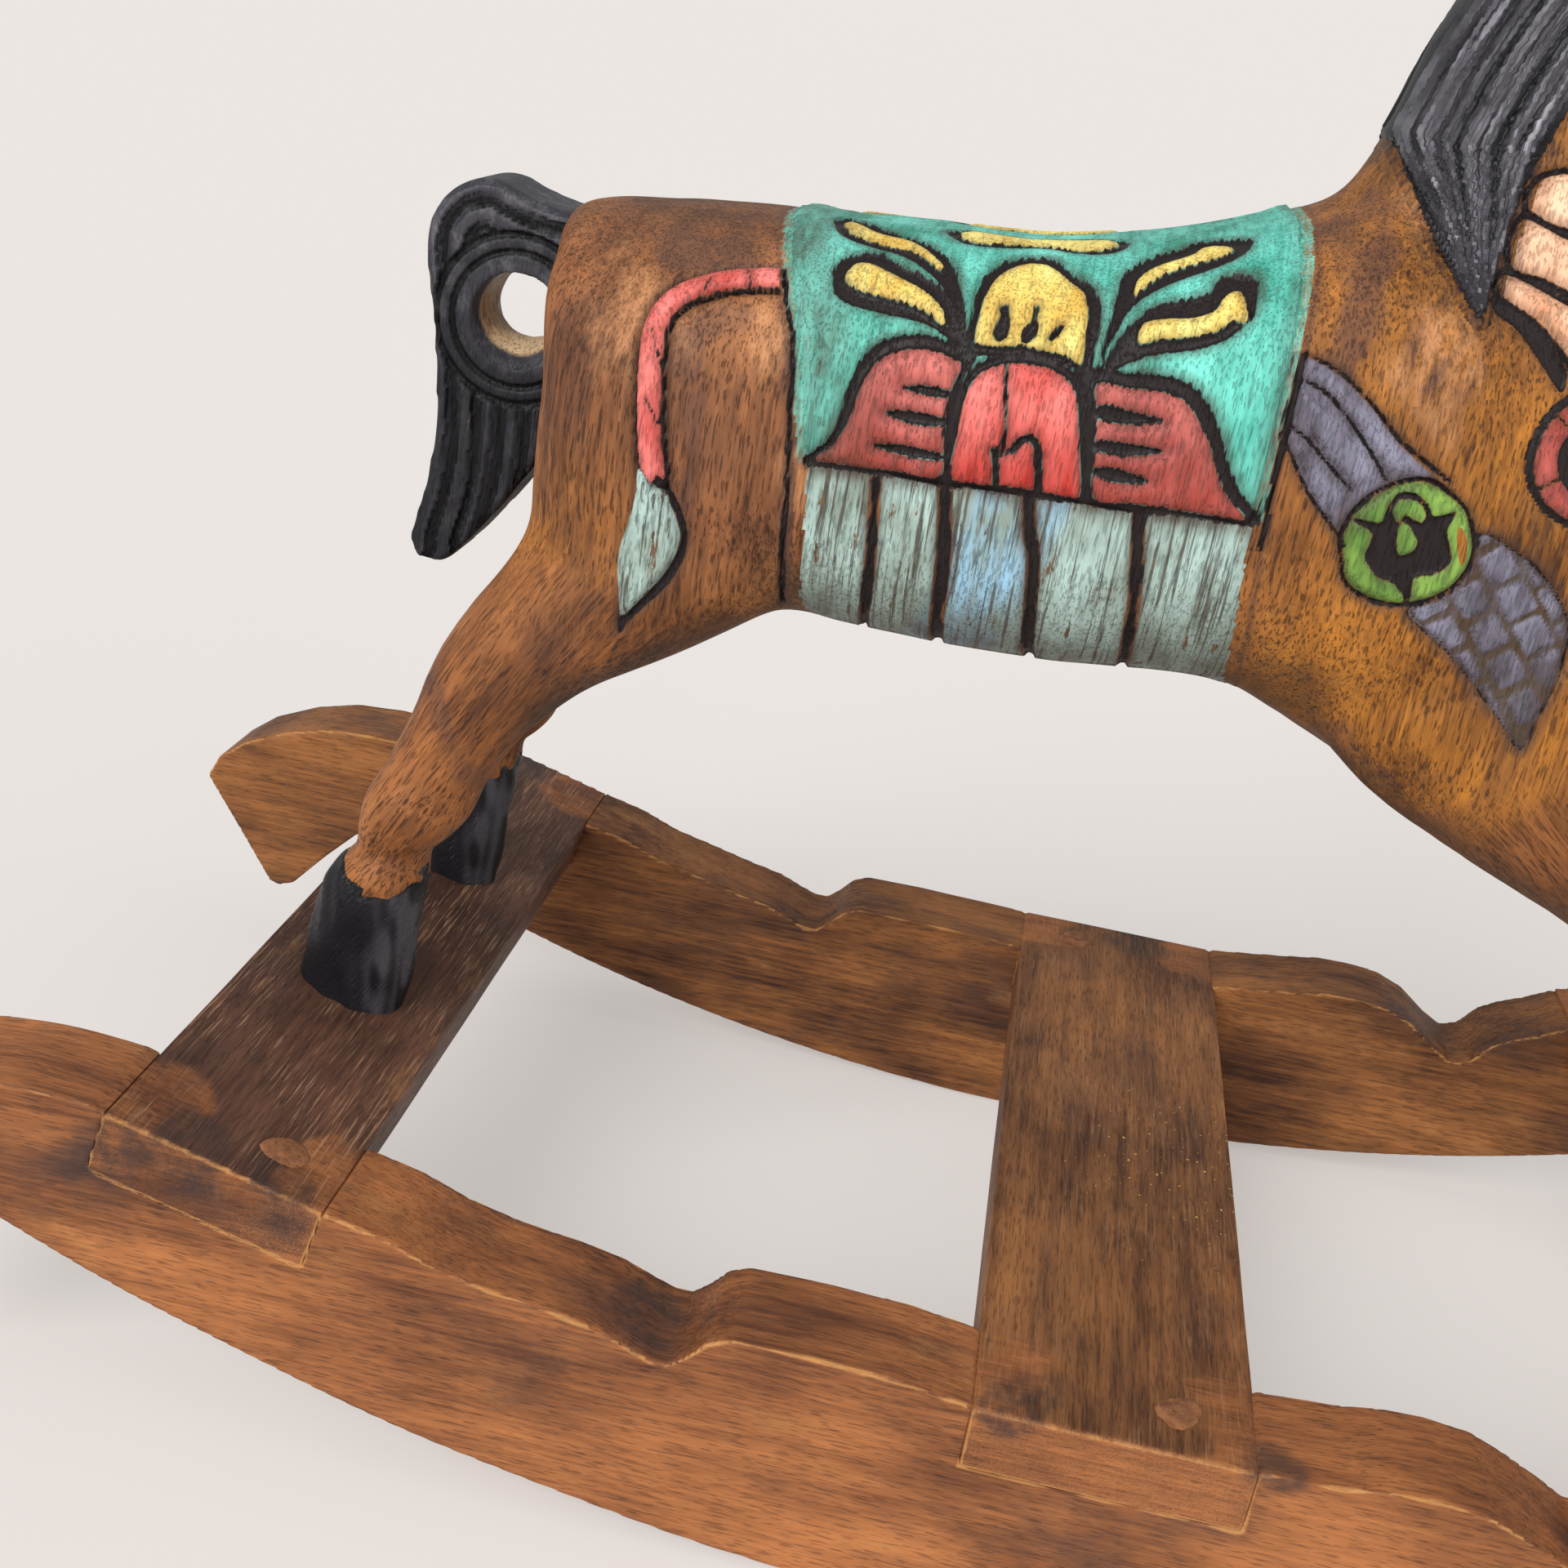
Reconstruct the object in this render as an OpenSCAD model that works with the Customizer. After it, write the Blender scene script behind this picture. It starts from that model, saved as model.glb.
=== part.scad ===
// Small carved wooden rocking horse on two bow rockers, pieced from separate blocks.
// Frame: +X toward the head, +Y to the horse's left, +Z up, origin on the floor midway
// between the rocker ends.

/* [Rockers] */
// Length over both rocker tips
rocker_len = 454; // [440:2:560]
// Radius of the arc that meets the floor
arc_r = 468; // [420:4:700]
// Thickness of one rocker board
rocker_t = 21.8; // [18:0.2:30]
// Width over the outer faces of both rockers
base_w = 200; // [180:1:260]
// Depth that the stop hooks hang below the rocker ends
hook_drop = 27.5; // [20:0.5:32]
// Distance of the carved front notch from the middle, right rocker
notch_right = 95; // [88:1:98]
// Distance of the carved front notch from the middle, left rocker
notch_left = 100; // [88:1:102]
// Height of the bump behind the middle slat, right rocker
bump_right = 47.8; // [46:0.2:50]
// Height of the bump behind the middle slat, left rocker
bump_left = 46.4; // [46:0.2:50]
// Height of the bump ahead of the middle slat, right rocker
swell_right = 48; // [47:0.2:52]
// Height of the bump ahead of the middle slat, left rocker
swell_left = 50; // [47:0.2:52]

/* [Slats] */
// Thickness of the three cross slats and depth of their housings
slat_t = 12.9; // [10:0.1:16]
// Width of the middle slat
slat_mid_w = 48.8; // [36:0.2:56]
// Width of the front and rear slats
slat_end_w = 41.6; // [32:0.2:46]
// Distance of the front and rear slats from the middle
slat_end_x = 145; // [140:1:150]
// Offset of the middle slat toward the head
slat_mid_x = 14.4; // [10:1:18]
// Tilt of the front and rear slats, degrees
slat_tilt = 14.5; // [10:0.5:18]
// Height of the middle slat's top
slat_mid_z = 45.5; // [43:0.5:50]
// Height of the end slats' tops at their centre line
slat_end_z = 59.6; // [58:0.2:62]
// Clearance each side of a slat in its housing
lap_gap = 0.1; // [0.05:0.05:0.3]

/* [Body] */
// Half width of the barrel at the saddle blanket
body_hw = 42; // [36:1:48]
// Height of the blanket's lowest point on the back
back_z = 223; // [218:1:230]
// Depth of the barrel under the blanket
barrel_h = 72; // [64:1:80]
// Height of the hind leg joint
hind_joint_z = 152; // [150:0.5:156]
// Width the carving leaves in a glue line
glue_gap = 0.1; // [0.05:0.05:0.3]

/* [Legs] */
// Half spacing of the hooves
hoof_y = 32; // [28:1:36]
// Half width of a hoof
hoof_hw = 8.4; // [7:0.2:10]
// Half width of a thigh where it meets the body
thigh_hw = 16; // [13:0.5:18]
// Half spacing of the thighs where they meet the body
thigh_y = 24; // [20:0.5:25]

/* [Head and tail] */
// Half width of the neck at its joint
neck_hw = 33; // [28:1:36]
// Half width of the head at the cheeks
head_hw = 16.5; // [14:0.5:20]
// Height of an ear
ear_h = 20; // [14:1:26]
// Thickness of the tail block
tail_t = 18; // [14:1:24]
// Radius of the hole through the tail
tail_hole_r = 9.4; // [7:0.2:10]

/* [Fastenings] */
// Radius of the dowels that hold legs, neck and tail
dowel_r = 4; // [3:0.25:5]
// Length of a dowel
dowel_len = 26; // [20:1:30]
// Radial clearance of a dowel in its hole
dowel_gap = 0.05; // [0.02:0.01:0.2]
// Radius of a wood screw's shank
screw_r = 1.7; // [1.4:0.1:2.4]
// Radius of a wood screw's head
screw_head_r = 3.4; // [2.8:0.1:4.4]
// Length of a hoof screw
hoof_screw_len = 28; // [24:1:32]
// Length of a lap joint screw
lap_screw_len = 23; // [18:1:25]
// Thickness of the wood plug over a lap screw
plug_t = 3.6; // [3:0.2:5]

/* [Hidden] */
$fn = 48;

wood = "#8a4f23";
half_len = rocker_len / 2;
rocker_y = base_w / 2 - rocker_t / 2;
saddle_dz = back_z - 223;
belly_z = back_z - barrel_h;
// joint of the front legs: rises toward the head
front_joint = [73, 155];
front_joint_a = 31.3;
// joint of the neck: falls toward the head
neck_joint = [55.5, 217.5 + saddle_dz];
neck_joint_a = -31.6;
tail_joint_x = -121.5;
tail_hole = [-130.4, 193];
// [slat centre x, top z, tilt, width]
slats = [[-slat_end_x, slat_end_z, -slat_tilt, slat_end_w],
    [slat_mid_x, slat_mid_z, 0, slat_mid_w],
    [slat_end_x, slat_end_z, slat_tilt, slat_end_w]];
// offsets of the lap screws along the slat's width: [right, left]
lap_off = [[9, -9], [11, -11], [-9, 9]];

// closed solid through a list of rings of equal length, each ring a planar loop
module loft(rings) {
    n = len(rings[0]);
    m = len(rings);
    pts = [for (r = rings) for (p = r) p];
    sides = [for (i = [0:m - 2]) for (j = [0:n - 1])
        let (a = i * n + j, b = i * n + (j + 1) % n, c = b + n, d = a + n)
        each [[a, c, b], [a, d, c]]];
    polyhedron(pts, concat([[for (j = [0:n - 1]) j]],
        sides, [[for (j = [n - 1:-1:0]) (m - 1) * n + j]]), convexity = 6);
}

function spow(v, e) = sign(v) * pow(abs(v), e);

// ring between a back edge point and a front edge point in the XZ plane, centred at y
function ring(a, b, y, hw, e = 0.85, n = 20) = [for (j = [0:n - 1])
    let (t = 360 * j / n, s = spow(cos(t), e), c = (a + b) / 2, h = (b - a) / 2)
    [c[0] + h[0] * s, y + hw * spow(sin(t), e), c[1] + h[1] * s]];

// everything on the upper side of a plane through p that rises by angle a toward +X
module above(p, a) translate([p[0], 0, p[1]]) rotate([0, -a, 0])
    translate([-400, -150, 0]) cube([800, 300, 400]);
module below(p, a) translate([p[0], 0, p[1]]) rotate([0, -a, 0])
    translate([-400, -150, -400]) cube([800, 300, 400]);

// places children with +Z along the slat's normal, z = 0 on its top face
module on_slat(i, off, y) translate([slats[i][0], y, slats[i][1]])
    rotate([0, -slats[i][2], 0]) translate([off, 0, 0]) children();

module slat_blank(i, gap) on_slat(i, 0, 0)
    translate([-slats[i][3] / 2 - gap, -base_w / 2, -slat_t - gap])
        cube([slats[i][3] + 2 * gap, base_w, slat_t + gap + (gap > 0 ? 40 : 0)]);

// ---------------------------------------------------------------- fastenings
module wood_screw(l) {
    cylinder(r1 = screw_r, r2 = screw_head_r, h = 2.2);
    translate([0, 0, -(l - 2.2 - 3)]) cylinder(r = screw_r, h = l - 2.2 - 3);
    translate([0, 0, -(l - 2.2)]) cylinder(r1 = 0.3, r2 = screw_r, h = 3);
}
// head face at z = 0, pointing down into the wood
module screw_down(l) translate([0, 0, -2.2]) wood_screw(l);
module lap_place(i, side) on_slat(i, lap_off[i][side > 0 ? 1 : 0], side * rocker_y)
    children();
module lap_screw(i, side) lap_place(i, side) translate([0, 0, -plug_t])
    screw_down(lap_screw_len);
module plug(i, side) lap_place(i, side) translate([0, 0, -plug_t])
    cylinder(r = screw_head_r + 0.6, h = plug_t);
module hoof_place(i, side) on_slat(i, 0, side * hoof_y)
    translate([0, 0, -slat_t]) rotate([180, 0, 0]) children();
module hoof_screw(i, side) hoof_place(i, side) screw_down(hoof_screw_len);

module dowel(grow = 0) translate([0, 0, -dowel_len / 2])
    cylinder(r = dowel_r + grow, h = dowel_len + grow);
module rear_dowel(side, grow = 0) translate([-106, side * thigh_y, hind_joint_z])
    dowel(grow);
module front_dowel(side, grow = 0) translate([front_joint[0] + 4, side * thigh_y,
    front_joint[1] + 2.4]) rotate([0, -front_joint_a, 0]) dowel(grow);
module neck_dowel(side, grow = 0) translate([neck_joint[0], side * 14, neck_joint[1]])
    rotate([0, -neck_joint_a, 0]) dowel(grow);
module tail_dowel(grow = 0) translate([tail_joint_x - 1, 0, 209.5])
    rotate([0, 90, 0]) translate([0, 0, -12]) cylinder(r = 3 + grow, h = 24 + grow);

// -------------------------------------------------------------------- rockers
// top line of one rocker from the rear tip to the front tip
function rocker_top(nx, bump, swell) = [
    [-half_len, 46], [-half_len + 3, 52], [-half_len + 10, 57.5], [-half_len + 21, 62.5],
    [-half_len + 32, 65.5], [-half_len + 45, 66.5],
    [-slat_end_x - slat_end_w / 2 - 2, 65.6], [-slat_end_x + slat_end_w / 2 + 1, 54.2],
    [-114, 52], [-105, 48.6], [-95, 46.4], [-83, bump - 2.8], [-75, bump - 4.4],
    [-69, bump - 6.8],
    [-65, bump - 8.2], [-62, bump - 8.2], [-59, bump - 5.6], [-56, bump - 2],
    [-52, bump - 0.2], [-38, bump], [-24, bump - 0.4], [slat_mid_x - slat_mid_w / 2, slat_mid_z],
    [slat_mid_x + slat_mid_w / 2, slat_mid_z], [nx - 42, swell - 1.6], [nx - 34, swell - 0.2],
    [nx - 27, swell], [nx - 19, swell - 0.8], [nx - 12, swell - 3.6],
    [nx - 5, 41], [nx, 38.2],
    [nx + 4, 39.6], [nx + 8, 45], [nx + 12, 47.6], [nx + 18, 50.4],
    [slat_end_x - slat_end_w / 2 - 1, 54.2], [slat_end_x + slat_end_w / 2 + 2, 65.6],
    [half_len - 45, 66.5], [half_len - 32, 65.5], [half_len - 21, 62.5],
    [half_len - 10, 57.5], [half_len - 3, 52], [half_len, 46]];

// the floor arc ends where the stop hooks begin
arc_end = half_len - 42;
arc_end_z = arc_r - sqrt(arc_r * arc_r - arc_end * arc_end);
// underside of one stop hook, from below the tip inward to the floor arc
hook_outline = [[half_len - 17, 46 - hook_drop + 3], [half_len - 18.5, 46 - hook_drop + 0.8],
    [half_len - 21, 46 - hook_drop], [half_len - 25, 46 - hook_drop + 1.5],
    [half_len - 34, 46 - hook_drop + 11.5], [arc_end, arc_end_z], [arc_end, -5]];

module rocker_face(nx, bump, swell) difference() {
    polygon(concat(rocker_top(nx, bump, swell), hook_outline,
        [for (i = [len(hook_outline) - 1:-1:0]) [-hook_outline[i][0], hook_outline[i][1]]]));
    difference() {
        translate([-arc_end, -20]) square([2 * arc_end, 80]);
        translate([0, arc_r]) circle(r = arc_r, $fn = 360);
    }
}

module rocker(side, nx, bump, swell) difference() {
    translate([0, side * rocker_y + rocker_t / 2, 0]) rotate([90, 0, 0])
        linear_extrude(rocker_t) rocker_face(nx, bump, swell);
    for (i = [0:2]) {
        slat_blank(i, lap_gap);
        lap_screw(i, side);
    }
}
module rocker_right() color(wood) rocker(-1, notch_right, bump_right, swell_right);
module rocker_left() color(wood) rocker(1, notch_left, bump_left, swell_left);

// ---------------------------------------------------------------------- slats
module slat(i) color("#74401d") difference() {
    slat_blank(i, 0);
    for (side = [-1, 1]) {
        lap_screw(i, side);
        plug(i, side);
        if (i != 1) hoof_screw(i, side);
    }
}
module slat_rear() slat(0);
module slat_middle() slat(1);
module slat_front() slat(2);

// ----------------------------------------------------------------------- body
// [x, underside z, top z, half width, squareness]
body_stations = [
    [tail_joint_x, 146, 214, 22, 0.8], [-119.5, 140, 216.5, 29, 0.8],
    [-114, 138, 218.5, 35, 0.8], [-104, 138, 220, body_hw - 3, 0.75],
    [-90, 144, 221, body_hw - 1.5, 0.7], [-82, 149, 221.5, body_hw - 1, 0.65],
    [-66, belly_z, 222 + saddle_dz, body_hw, 0.6],
    [-50, belly_z - 0.4, back_z, body_hw + 0.5, 0.6],
    [-34, belly_z - 0.4, back_z + 1, body_hw + 0.5, 0.6],
    [-18, belly_z, back_z + 4.5, body_hw, 0.6],
    [-4, belly_z + 1, back_z + 9, body_hw - 0.5, 0.65],
    [10, belly_z + 1, back_z + 15, body_hw - 1, 0.7],
    [22, 147, 246 + saddle_dz, 40, 0.75], [40, 139, 238 + saddle_dz, 39, 0.8],
    [60, 128, 227 + saddle_dz, 37.5, 0.8], [78, 120, 215 + saddle_dz, 35, 0.8],
    [88, 124, 207 + saddle_dz, 31, 0.8], [95, 134, 200 + saddle_dz, 25, 0.85],
    [99, 148, 192 + saddle_dz, 15, 0.9]];

module body_block() color(wood) difference() {
    loft([for (s = body_stations)
        ring([s[0], s[1]], [s[0], s[2]], 0, s[3], s[4], 28)]);
    translate([-200, -100, 0]) cube([128, 200, hind_joint_z]);
    above(neck_joint, neck_joint_a);
    below(front_joint, front_joint_a);
    for (side = [-1, 1]) {
        rear_dowel(side, dowel_gap);
        front_dowel(side, dowel_gap);
        neck_dowel(side, dowel_gap);
    }
    tail_dowel(dowel_gap);
}

// ----------------------------------------------------------------------- legs
// [back edge point, front edge point, how far down: 0 thigh to 1 hoof]
hind_stations = [
    [[-120, 160], [-66, 160], 0], [[-124, 152], [-74, 152], 0.05],
    [[-131, 142], [-88, 141], 0.2], [[-136, 132], [-103, 133], 0.4],
    [[-139, 121], [-115, 122], 0.6], [[-143, 109], [-121.5, 111], 0.76],
    [[-147, 97], [-126, 100], 0.85], [[-149, 91], [-130, 93], 0.94],
    [[-152, 88], [-131.5, 90], 1], [[-155, 76], [-133, 77], 1.05],
    [[-159, 54], [-135, 46], 1.1]];
fore_stations = [
    [[36, 142], [97, 182], 0], [[45, 138], [101, 172], 0.05],
    [[64, 130], [110, 153], 0.2], [[84, 122], [119, 137], 0.4],
    [[98, 113], [126, 125], 0.6], [[109, 103], [132, 115], 0.76],
    [[120, 93], [139, 105], 0.85], [[127, 87], [146, 97], 0.94],
    [[130, 84], [152, 92], 1], [[133, 74], [155, 79], 1.05],
    [[135, 46], [159, 54], 1.1]];

module leg_loft(stations, side) loft([for (s = stations)
    let (k = min(1, s[2]),
        hw = thigh_hw + (hoof_hw - thigh_hw) * k + (s[2] > 1 ? (s[2] - 1) * 6 : 0))
    ring(s[0], s[1], side * (thigh_y + (hoof_y - thigh_y) * k), hw, 0.85, 18)]);

module leg_rear(side) color(wood) difference() {
    leg_loft(hind_stations, side);
    translate([-200, -100, hind_joint_z - glue_gap]) cube([300, 200, 100]);
    below([-slat_end_x, slat_end_z + 0.02], -slat_tilt);
    rear_dowel(side, dowel_gap);
    hoof_screw(0, side);
}
module leg_front(side) color(wood) difference() {
    leg_loft(fore_stations, side);
    above([front_joint[0] + glue_gap / 2, front_joint[1] - glue_gap], front_joint_a);
    below([slat_end_x, slat_end_z + 0.02], slat_tilt);
    front_dowel(side, dowel_gap);
    hoof_screw(2, side);
}
module leg_rear_right() leg_rear(-1);
module leg_rear_left() leg_rear(1);
module leg_front_right() leg_front(-1);
module leg_front_left() leg_front(1);

// ----------------------------------------------------------------------- head
// [crest or forehead point, throat or jaw point, half width]
neck_stations = [
    [[9, 232], [93, 181], neck_hw + 3], [[14, 243], [97, 192], neck_hw],
    [[19, 257], [95, 222], neck_hw - 6], [[25, 274], [91, 248], 21],
    [[36, 296], [88, 268], 17.5], [[53, 315], [90, 276], head_hw],
    [[73, 326], [96, 277], head_hw], [[93, 320], [107, 274], head_hw],
    [[110, 306], [117, 270], 13.5], [[124, 290], [125, 265], 11.5],
    [[134, 279], [131, 262], 10.5], [[138, 273], [135, 264], 7]];

module ear(side) translate([70, side * 9, 322 + saddle_dz]) rotate([side * -8, 8, 0])
    translate([0, 0, -6]) cylinder(r1 = 5.5, r2 = 1.2, h = ear_h + 6, $fn = 24);

module neck_head_block() color(wood) difference() {
    union() {
        translate([0, 0, saddle_dz]) loft([for (s = neck_stations)
            ring(s[0], s[1], 0, s[2], 0.85, 22)]);
        ear(-1);
        ear(1);
    }
    below([neck_joint[0] + glue_gap / 2, neck_joint[1] + glue_gap], neck_joint_a);
    for (side = [-1, 1]) neck_dowel(side, dowel_gap);
}

// ----------------------------------------------------------------------- tail
tail_outline = [[0, 216.5], [-6, 217], [-12, 217.8], [-18, 217.5], [-23.5, 214],
    [-26.8, 209], [-28, 203], [-26.5, 193], [-24.5, 182], [-23.6, 171], [-24.6, 160],
    [-26.6, 150], [-26, 146], [-23, 144.5], [-18.5, 148], [-11.5, 157], [-5.5, 165],
    [-1.5, 169.5], [0, 171]];
module tail() color("#1b1b1f") difference() {
    translate([tail_joint_x - glue_gap, tail_t / 2, 0]) rotate([90, 0, 0])
        linear_extrude(tail_t) polygon(tail_outline);
    translate([tail_hole[0], 0, tail_hole[1]]) rotate([90, 0, 0])
        cylinder(r = tail_hole_r, h = 60, center = true);
    tail_dowel(dowel_gap);
}

module dowel_rear_right() color("tan") rear_dowel(-1);
module dowel_rear_left() color("tan") rear_dowel(1);
module dowel_front_right() color("tan") front_dowel(-1);
module dowel_front_left() color("tan") front_dowel(1);
module dowel_neck_right() color("tan") neck_dowel(-1);
module dowel_neck_left() color("tan") neck_dowel(1);
module dowel_tail() color("tan") tail_dowel();
module hoof_screw_rear_right() color("silver") hoof_screw(0, -1);
module hoof_screw_rear_left() color("silver") hoof_screw(0, 1);
module hoof_screw_front_right() color("silver") hoof_screw(2, -1);
module hoof_screw_front_left() color("silver") hoof_screw(2, 1);
module lap_screw_rear_right() color("silver") lap_screw(0, -1);
module lap_screw_rear_left() color("silver") lap_screw(0, 1);
module lap_screw_middle_right() color("silver") lap_screw(1, -1);
module lap_screw_middle_left() color("silver") lap_screw(1, 1);
module lap_screw_front_right() color("silver") lap_screw(2, -1);
module lap_screw_front_left() color("silver") lap_screw(2, 1);
module plug_rear_right() color("#b0683a") plug(0, -1);
module plug_rear_left() color("#b0683a") plug(0, 1);
module plug_middle_right() color("#b0683a") plug(1, -1);
module plug_middle_left() color("#b0683a") plug(1, 1);
module plug_front_right() color("#b0683a") plug(2, -1);
module plug_front_left() color("#b0683a") plug(2, 1);

rocker_right();
rocker_left();
slat_rear();
slat_middle();
slat_front();
body_block();
neck_head_block();
tail();
leg_rear_right();
leg_rear_left();
leg_front_right();
leg_front_left();
dowel_rear_right();
dowel_rear_left();
dowel_front_right();
dowel_front_left();
dowel_neck_right();
dowel_neck_left();
dowel_tail();
hoof_screw_rear_right();
hoof_screw_rear_left();
hoof_screw_front_right();
hoof_screw_front_left();
lap_screw_rear_right();
lap_screw_rear_left();
lap_screw_middle_right();
lap_screw_middle_left();
lap_screw_front_right();
lap_screw_front_left();
plug_rear_right();
plug_rear_left();
plug_middle_right();
plug_middle_left();
plug_front_right();
plug_front_left();
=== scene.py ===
import bpy
import math
import numpy as np
from mathutils import Vector, Matrix


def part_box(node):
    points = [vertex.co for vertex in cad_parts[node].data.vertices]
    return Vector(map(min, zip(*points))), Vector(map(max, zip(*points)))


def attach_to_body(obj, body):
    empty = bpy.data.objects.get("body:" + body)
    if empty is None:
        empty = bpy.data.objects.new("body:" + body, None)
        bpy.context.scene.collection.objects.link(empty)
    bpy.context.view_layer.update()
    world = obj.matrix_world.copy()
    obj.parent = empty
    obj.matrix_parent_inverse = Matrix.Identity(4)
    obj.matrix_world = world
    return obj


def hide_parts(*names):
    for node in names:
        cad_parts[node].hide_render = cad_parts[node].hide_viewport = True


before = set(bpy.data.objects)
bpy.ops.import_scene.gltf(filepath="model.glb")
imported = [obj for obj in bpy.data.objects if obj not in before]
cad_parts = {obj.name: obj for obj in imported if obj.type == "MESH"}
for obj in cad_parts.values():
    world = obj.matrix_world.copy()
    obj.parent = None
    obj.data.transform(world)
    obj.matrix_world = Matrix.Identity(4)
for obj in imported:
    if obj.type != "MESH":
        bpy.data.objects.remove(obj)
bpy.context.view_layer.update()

# small tools, lengths in millimetres unless they say otherwise


def clearSelection():
    if bpy.context.object and bpy.context.object.mode != "OBJECT":
        bpy.ops.object.mode_set(mode="OBJECT")
    bpy.ops.object.select_all(action="DESELECT")


def pick(*things):
    clearSelection()
    for thing in things:
        thing.select_set(True)
    bpy.context.view_layer.objects.active = things[0]


def readPoints(piece):
    points = np.empty(len(piece.data.vertices) * 3)
    piece.data.vertices.foreach_get("co", points)
    return points.reshape(-1, 3) * 1000


def writePoints(piece, points):
    piece.data.vertices.foreach_set("co", (points / 1000).ravel())
    piece.data.update()


def readNormals(piece):
    normals = np.empty(len(piece.data.vertices) * 3)
    piece.data.vertices.foreach_get("normal", normals)
    return normals.reshape(-1, 3)


def keepValue(piece, name, values):
    layer = piece.data.attributes.get(name) or piece.data.attributes.new(name, "FLOAT", "POINT")
    layer.data.foreach_set("value", np.asarray(values, dtype=np.float32))


def keepPlace(piece, name, points):
    layer = piece.data.attributes.new(name, "FLOAT_VECTOR", "POINT")
    layer.data.foreach_set("vector", (points / 1000).astype(np.float32).ravel())


def applyModifier(piece, kind, **settings):
    pick(piece)
    modifier = piece.modifiers.new(kind.title(), kind)
    for key, value in settings.items():
        setattr(modifier, key, value)
    bpy.ops.object.modifier_apply(modifier=modifier.name)


def remesh(piece, voxel, rounds):
    applyModifier(piece, "REMESH", mode="VOXEL", voxel_size=voxel / 1000)
    applyModifier(piece, "SMOOTH", factor=0.5, iterations=rounds)


def shade(piece, angle=50):
    pick(piece)
    bpy.ops.object.shade_smooth_by_angle(angle=math.radians(angle))


def signedPower(value, power):
    return np.sign(value) * np.abs(value) ** power


def smoothRows(table, steps):
    rows = np.array(table, float)
    padded = np.vstack([2 * rows[0] - rows[1], rows, 2 * rows[-1] - rows[-2]])
    out = []
    for i in range(len(rows) - 1):
        a, b, c, d = padded[i:i + 4]
        for u in np.arange(steps) / steps:
            out.append(0.5 * (2 * b + (c - a) * u + (2 * a - 5 * b + 4 * c - d) * u ** 2
                              + (3 * b - a - 3 * c + d) * u ** 3))
    return np.vstack(out + [rows[-1]])


def loftForm(name, table, sides=44, steps=5):
    # rows of [first edge x, z, second edge x, z, centre y, half width, squareness]
    rows = smoothRows(table, steps)
    turn = np.linspace(0, 2 * np.pi, sides + 1)[None, :]
    ax, az, bx, bz, y, half, power = [column[:, None] for column in rows.T]
    across = signedPower(np.cos(turn), power)
    rings = np.stack([(ax + bx) / 2 + (bx - ax) / 2 * across,
                      y + half * signedPower(np.sin(turn), power),
                      (az + bz) / 2 + (bz - az) / 2 * across], -1)
    ends = [np.repeat(rings[i].mean(0)[None, None, :], sides + 1, 1) for i in (0, -1)]
    rings = np.concatenate([ends[0], rings, ends[1]])
    clearSelection()
    bpy.ops.mesh.primitive_grid_add(x_subdivisions=sides, y_subdivisions=len(rings) - 1)
    form = bpy.context.object
    form.name = name
    writePoints(form, rings.reshape(-1, 3))
    bpy.ops.object.mode_set(mode="EDIT")
    bpy.ops.mesh.select_all(action="SELECT")
    bpy.ops.mesh.remove_doubles(threshold=1e-6)
    bpy.ops.mesh.normals_make_consistent(inside=False)
    bpy.ops.object.mode_set(mode="OBJECT")
    return form


def distanceTo(x, z, outline, closed=True):
    # distance to a polyline; negative inside a closed one
    points = np.array(outline, float)
    ends = np.roll(points, -1, 0) if closed else points[1:]
    starts = points if closed else points[:-1]
    best = np.full(len(x), 1e9)
    inside = np.zeros(len(x), bool)
    for (ax, az), (bx, bz) in zip(starts, ends):
        dx, dz = bx - ax, bz - az
        t = np.clip(((x - ax) * dx + (z - az) * dz) / max(dx * dx + dz * dz, 1e-9), 0, 1)
        best = np.minimum(best, np.hypot(x - ax - t * dx, z - az - t * dz))
        if closed:
            crosses = (az > z) != (bz > z)
            inside ^= crosses & (x < (bx - ax) * (z - az) / (bz - az if bz != az else 1) + ax)
    return np.where(inside, -best, best) if closed else best


def wobble(points, size, seed):
    # smooth waves that make a surface look cut by hand, about -1 to 1
    rng = np.random.default_rng(seed)
    total = np.zeros(len(points))
    for _ in range(7):
        wave = rng.normal(size=3)
        wave *= 2 * np.pi / (size * rng.uniform(0.7, 1.6)) / np.linalg.norm(wave)
        total += np.sin(points @ wave + rng.uniform(0, 6.28))
    return total / 3


def slopeStep(value, low, high):
    t = np.clip((value - low) / (high - low), 0, 1)
    return t * t * (3 - 2 * t)


# horse: one smooth form from lofted parts, then parted along the glue lines

horse = {
    "coarseVoxel": 2.4, "blendRounds": 7,
    "fineVoxel": 1.15, "smoothRounds": 3, "lineDepth": 0.85,
    "hindJoint": 152.0, "frontJoint": (73.0, 155.0, 31.3),
    "neckJoint": (55.5, 217.5, -31.6), "pollJoint": (71.5, 295.0, -46.5),
    "blanket": (-83.5, 8.5),
}


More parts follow.
